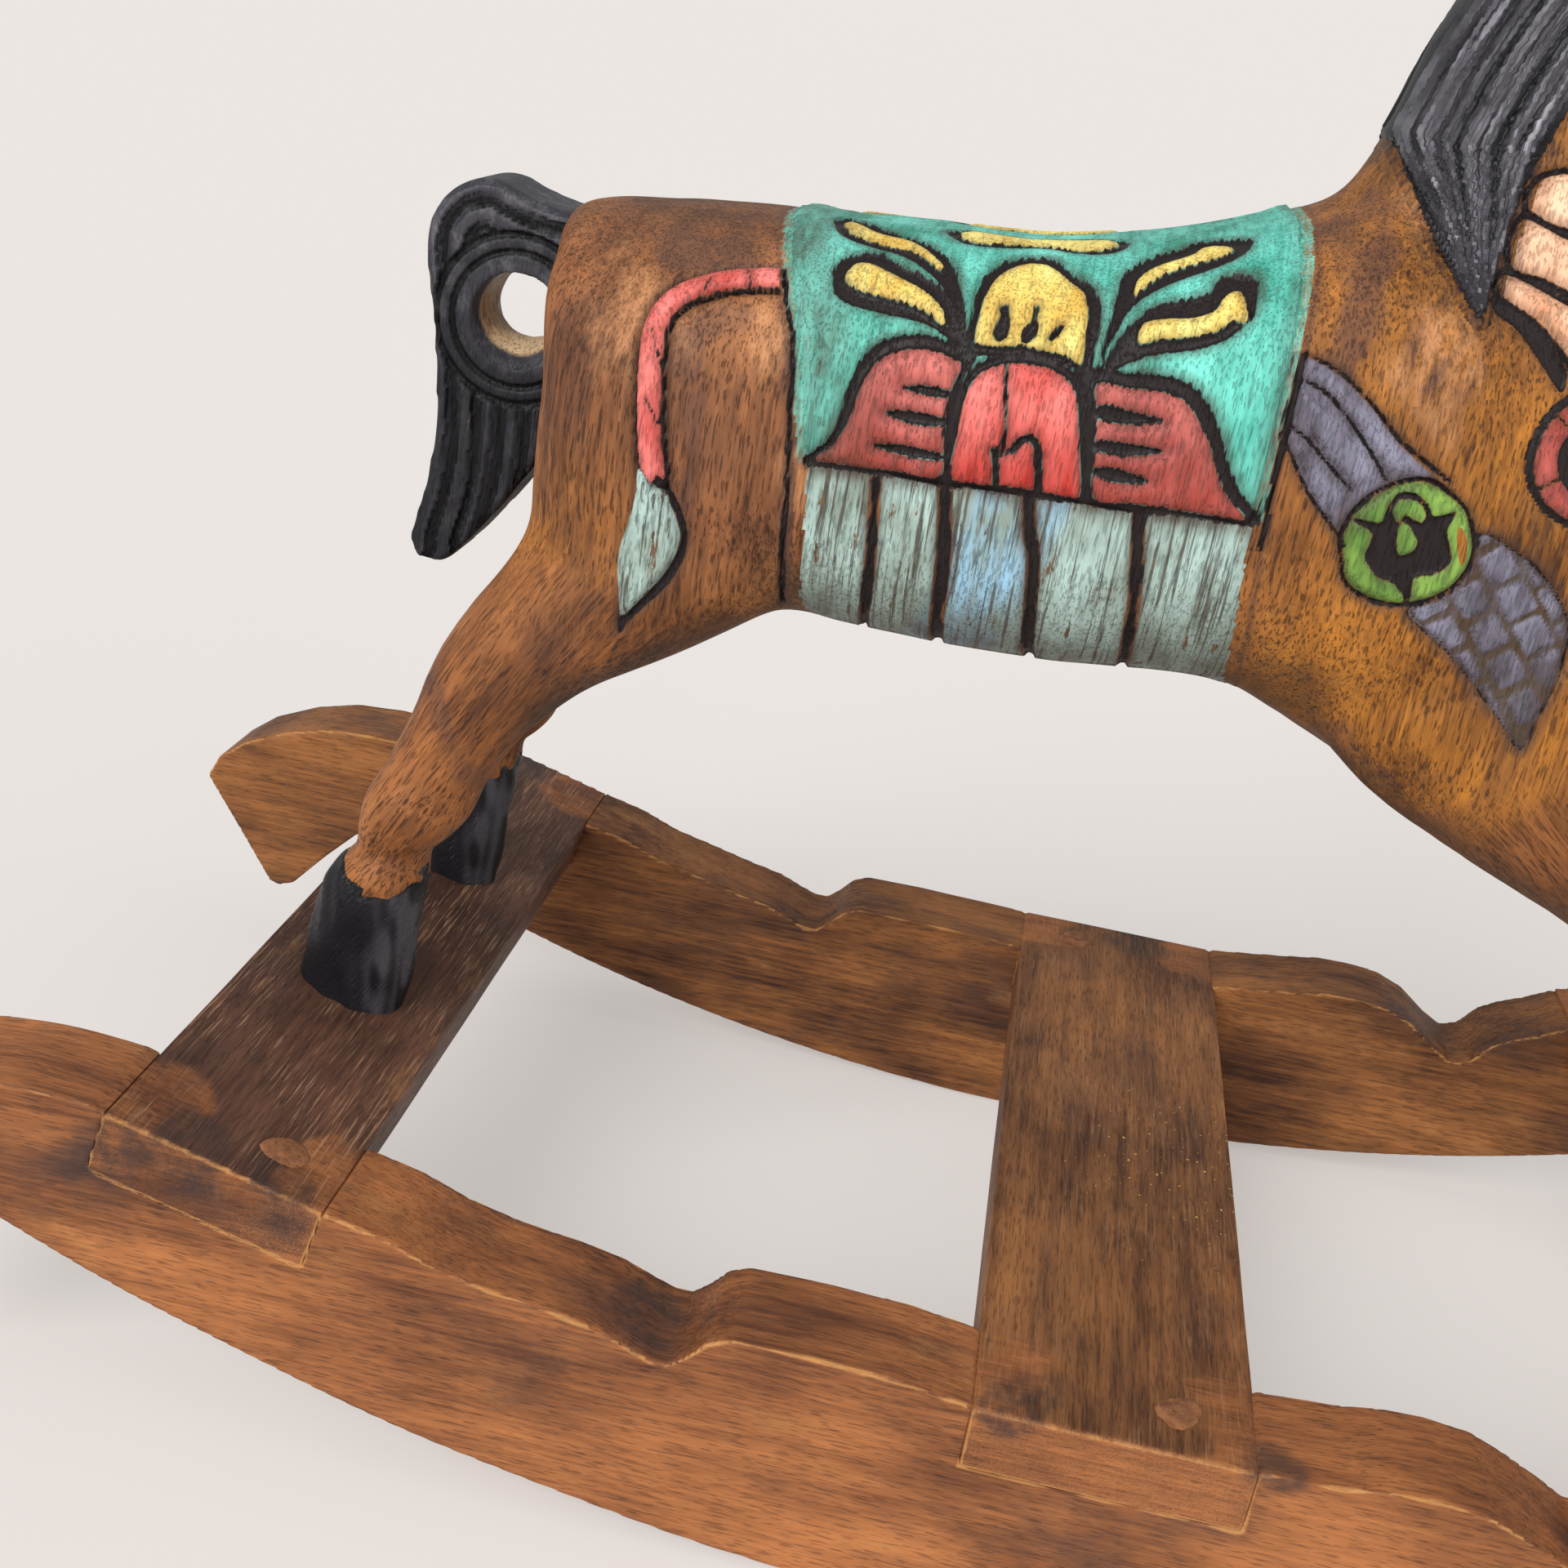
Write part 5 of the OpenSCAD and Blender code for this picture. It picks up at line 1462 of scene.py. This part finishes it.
def tailFinish(name):
    material, sheet, shader, vector = startFinish(name, (0, 0, 0), 0.45)
    ridge = valueOf(sheet, "ridge")
    # painted highlight and sheen: the black is lighter toward the top and on the ridges of the
    # locks, with grey streaks there
    top = sheet.mix(valueOf(sheet, "tailSheen"), (0.014, 0.014, 0.018, 1), (0.06, 0.058, 0.07, 1))
    color = sheet.mix(sheet.spread(ridge, 0.3, 0.9), (0.003, 0.003, 0.004, 1), top)
    streak = sheet.noise(vector, 300, 6, 0.72, 0.7)
    tailSheen = sheet.math("MULTIPLY", sheet.spread(streak, 0.48, 0.7, 0, 0.5), valueOf(sheet, "tailSheen"))
    tailSheen = sheet.math("MULTIPLY", tailSheen, sheet.spread(ridge, 0.3, 0.8, 0.2, 1.0))
    color = sheet.mix(tailSheen, color, (0.24, 0.23, 0.25, 1))
    rub = sheet.math("MULTIPLY", sheet.spread(sheet.noise(vector, 120, 6, 0.75), 0.62, 0.7, 0, 0.8),
                     sheet.spread(ridge, 0.6, 0.9))
    color = sheet.mix(rub, color, (0.30, 0.15, 0.08, 1))
    raw = placeGroup(sheet, woodGrain, Vector=vector, Light=(0.60, 0.43, 0.25, 1),
                     Dark=(0.20, 0.10, 0.045, 1), Pores=0.7)
    color = sheet.mix(valueOf(sheet, "bare"), color, raw["Color"])
    height = sheet.math("ADD", raw["Height"], sheet.math("MULTIPLY", streak, 0.6))
    endFinish(sheet, shader, color, height, sheet.spread(streak, 0.3, 0.7, 0.42, 0.6), 0.0003)
    return material


# filler patches over the screw heads


def makePatch(name, node, seed):
    low, high = (np.array(corner) * 1000 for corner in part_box(node))
    rng = np.random.default_rng(seed)
    turn = np.linspace(0, 2 * np.pi, 27)[:-1]
    size = 4.1 + 0.45 * np.sin(2 * turn + seed) + 0.3 * np.sin(3 * turn + 2 * seed)
    size += rng.uniform(-0.25, 0.25, len(turn))
    centre = (low + high) / 2
    tilt = {"rear": -14.5, "middle": 0.0, "front": 14.5}[node.split("_")[1]]
    clearSelection()
    bpy.ops.mesh.primitive_circle_add(vertices=len(turn), fill_type="NGON")
    piece = bpy.context.object
    piece.name = piece.data.name = name
    writePoints(piece, np.stack([size * np.cos(turn), size * np.sin(turn), 0 * turn - 1.7], -1))
    bpy.ops.object.mode_set(mode="EDIT")
    bpy.ops.mesh.select_all(action="SELECT")
    bpy.ops.mesh.extrude_region_move(TRANSFORM_OT_translate={"value": (0, 0, 0.00375)})
    bpy.ops.mesh.select_all(action="SELECT")
    bpy.ops.mesh.normals_make_consistent(inside=False)
    bpy.ops.object.mode_set(mode="OBJECT")
    applyModifier(piece, "BEVEL", width=0.0004, segments=2)
    points = readPoints(piece)
    t = math.radians(tilt)
    x, z = points[:, 0].copy(), points[:, 2].copy()
    points[:, 0] = x * math.cos(t) - z * math.sin(t)
    points[:, 2] = x * math.sin(t) + z * math.cos(t)
    writePoints(piece, points + centre)
    shade(piece, 40)
    return piece


print("making the base")
base = {"rockerRight": makeRocker("rockerRight", "right", -1),
        "rockerLeft": makeRocker("rockerLeft", "left", 1),
        "slatRear": makeSlat("slatRear", "rear"),
        "slatMiddle": makeSlat("slatMiddle", "middle"),
        "slatFront": makeSlat("slatFront", "front")}

for piece in parts.values():
    closePiece(piece)
    shade(piece, 50)

stands = {"barrelAndBlanket": "body_block", "rump": "body_block", "chest": "body_block",
          "legRearRight": "leg_rear_right", "legRearLeft": "leg_rear_left",
          "legFrontRight": "leg_front_right", "legFrontLeft": "leg_front_left",
          "neckAndMane": "neck_head_block", "headBlock": "neck_head_block",
          "rockerRight": "rocker_right", "rockerLeft": "rocker_left",
          "slatRear": "slat_rear", "slatMiddle": "slat_middle", "slatFront": "slat_front"}
extras = {"tailCarved": makeTail()}
stands["tailCarved"] = "tail"
for number, node in enumerate(sorted(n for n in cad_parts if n.startswith("plug_"))):
    words = node.split("_")
    name = "filler" + words[1].title() + words[2].title()
    extras[name] = makePatch(name, node, number + 3)
    stands[name] = node

print("putting on the finishes")
allPaints = ["teal", "blue", "red", "brick", "grey", "green", "pale", "gold"]
bodyFinish = paintedWood("bodyFinish", "body", (0, 0, 0),
                         ["teal", "blue", "red", "brick", "gold"], wrapped=True)
hindFinish = paintedWood("hindFinish", "body", (0, 0, 0), ["teal", "blue", "red"],
                         second=("leg", (0, -30, 0)))
foreFinish = paintedWood("foreFinish", "body", (0, 0, 0), allPaints, second=("leg", (0, 48, 0)),
                         hair=True)
neckFinish = paintedWood("neckFinish", "body", (0, 0, 0),
                         ["grey", "brick", "green", "pale", "gold"], hair=True)
headFinish = paintedWood("headFinish", "body", (0, 50, 0), ["red", "green", "pale"], hair=True)
rockerFinish = plainWood("rockerFinish", "rocker", (0, 90, 0))
# the far rocker's finish carries painted shade
farRockerFinish = plainWood("farRockerFinish", "farRocker", (0, 90, 0))
slatFinish = plainWood("slatFinish", "slat", (90, 0, 0), 0.4, 0.6)
rearSlatFinish = plainWood("rearSlatFinish", "rearSlat", (90, 0, 0), 0.5, 0.65)
pegFinish = plainWood("pegFinish", "leg", (0, 90, 0))
finishes = {"barrelAndBlanket": (bodyFinish, "body_wood"), "rump": (hindFinish, "body_wood"),
            "chest": (foreFinish, "body_wood"), "legRearRight": (hindFinish, "leg_wood"),
            "legRearLeft": (hindFinish, "leg_wood"),
            "legFrontRight": (foreFinish, "leg_wood"),
            "legFrontLeft": (foreFinish, "leg_wood"), "neckAndMane": (neckFinish, "neck_wood"),
            "headBlock": (headFinish, "neck_wood"), "rockerRight": (rockerFinish, "rocker_wood"),
            "rockerLeft": (farRockerFinish, "rocker_wood"),
            "slatRear": (rearSlatFinish, "slat_wood"), "slatMiddle": (slatFinish, "slat_wood"),
            "slatFront": (slatFinish, "slat_wood"),
            "tailCarved": (tailFinish("tailFinish"), "black_paint")}
fillerMaterial = fillerFinish("fillerFinish")
steelMaterial = steelFinish("steelFinish")
for name, piece in {**parts, **base, **extras}.items():
    material, slot = finishes.get(name, (fillerMaterial, "plug_wood"))
    piece.data.materials.clear()
    piece.data.materials.append(material)
    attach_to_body(piece, "root")
    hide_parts(stands[name])
for name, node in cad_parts.items():
    if "screw" in name or name.startswith("dowel"):
        material = steelMaterial if "screw" in name else pegFinish
        node.data.materials.clear()
        node.data.materials.append(material)

# stage, light and camera

light = {"floor": (0.3796, 0.3631, 0.3526, 1), "wall": (0.831, 0.791, 0.761, 1), "room": 0.52,
         "lamps": {"keyLight": ((-0.5, -1.0, 0.75), 2.7, 35),
                   "fillLight": ((0.9, -0.5, 0.5), 0.7, 60)}}
viewpoint = {"place": (-0.031405, -0.36778, 0.260657), "lens": 44.53, "sensor": 36,
             "right": (0.97581, 0.15968, 0.14930), "forward": (-0.09235, 0.92015, -0.38052)}


def makeStage():
    clearSelection()
    bpy.ops.mesh.primitive_plane_add(size=60, location=(0, 0, -0.0003))
    floor = bpy.context.object
    floor.name = "floor"
    material = bpy.data.materials.new("paleFloor")
    material.use_nodes = True
    shader = material.node_tree.nodes["Principled BSDF"]
    shader.inputs["Base Color"].default_value = light["floor"]
    shader.inputs["Roughness"].default_value = 1
    shader.inputs["Specular IOR Level"].default_value = 0
    shader.inputs["Emission Color"].default_value = light["wall"]
    shader.inputs["Emission Strength"].default_value = 0.5
    floor.data.materials.append(material)
    world = bpy.data.worlds.new("softRoom")
    bpy.context.scene.world = world
    world.use_nodes = True
    sheet = Sheet(world.node_tree)
    glow = world.node_tree.nodes["Background"]
    glow.inputs[0].default_value = (1, 0.985, 0.965, 1)
    glow.inputs[1].default_value = light["room"]
    seen = sheet.add("Background", {"Color": light["wall"], "Strength": 1.0})
    mixed = sheet.add("MixShader", {0: sheet.add("LightPath").outputs["Is Camera Ray"],
                                    1: glow.outputs[0], 2: seen.outputs[0]})
    world.node_tree.links.new(mixed.outputs[0], world.node_tree.nodes["World Output"].inputs[0])
    for name, (place, power, spread) in light["lamps"].items():
        data = bpy.data.lights.new(name, "SUN")
        data.energy, data.angle = power, math.radians(spread)
        lamp = bpy.data.objects.new(name, data)
        bpy.context.collection.objects.link(lamp)
        lamp.rotation_euler = (-Vector(place)).to_track_quat("-Z", "Y").to_euler()


def makeCamera():
    data = bpy.data.cameras.new("camera")
    camera = bpy.data.objects.new("camera", data)
    bpy.context.collection.objects.link(camera)
    data.sensor_width, data.lens = viewpoint["sensor"], viewpoint["lens"]
    data.clip_start, data.clip_end = 0.01, 20
    right = Vector(viewpoint["right"])
    forward = Vector(viewpoint["forward"]).normalized()
    up = right.cross(forward).normalized()
    right = forward.cross(up).normalized()
    turn = Matrix((right, up, -forward)).transposed().to_4x4()
    camera.matrix_world = Matrix.Translation(viewpoint["place"]) @ turn
    bpy.context.scene.camera = camera
    bpy.context.scene.view_settings.view_transform = "Standard"


makeStage()
makeCamera()
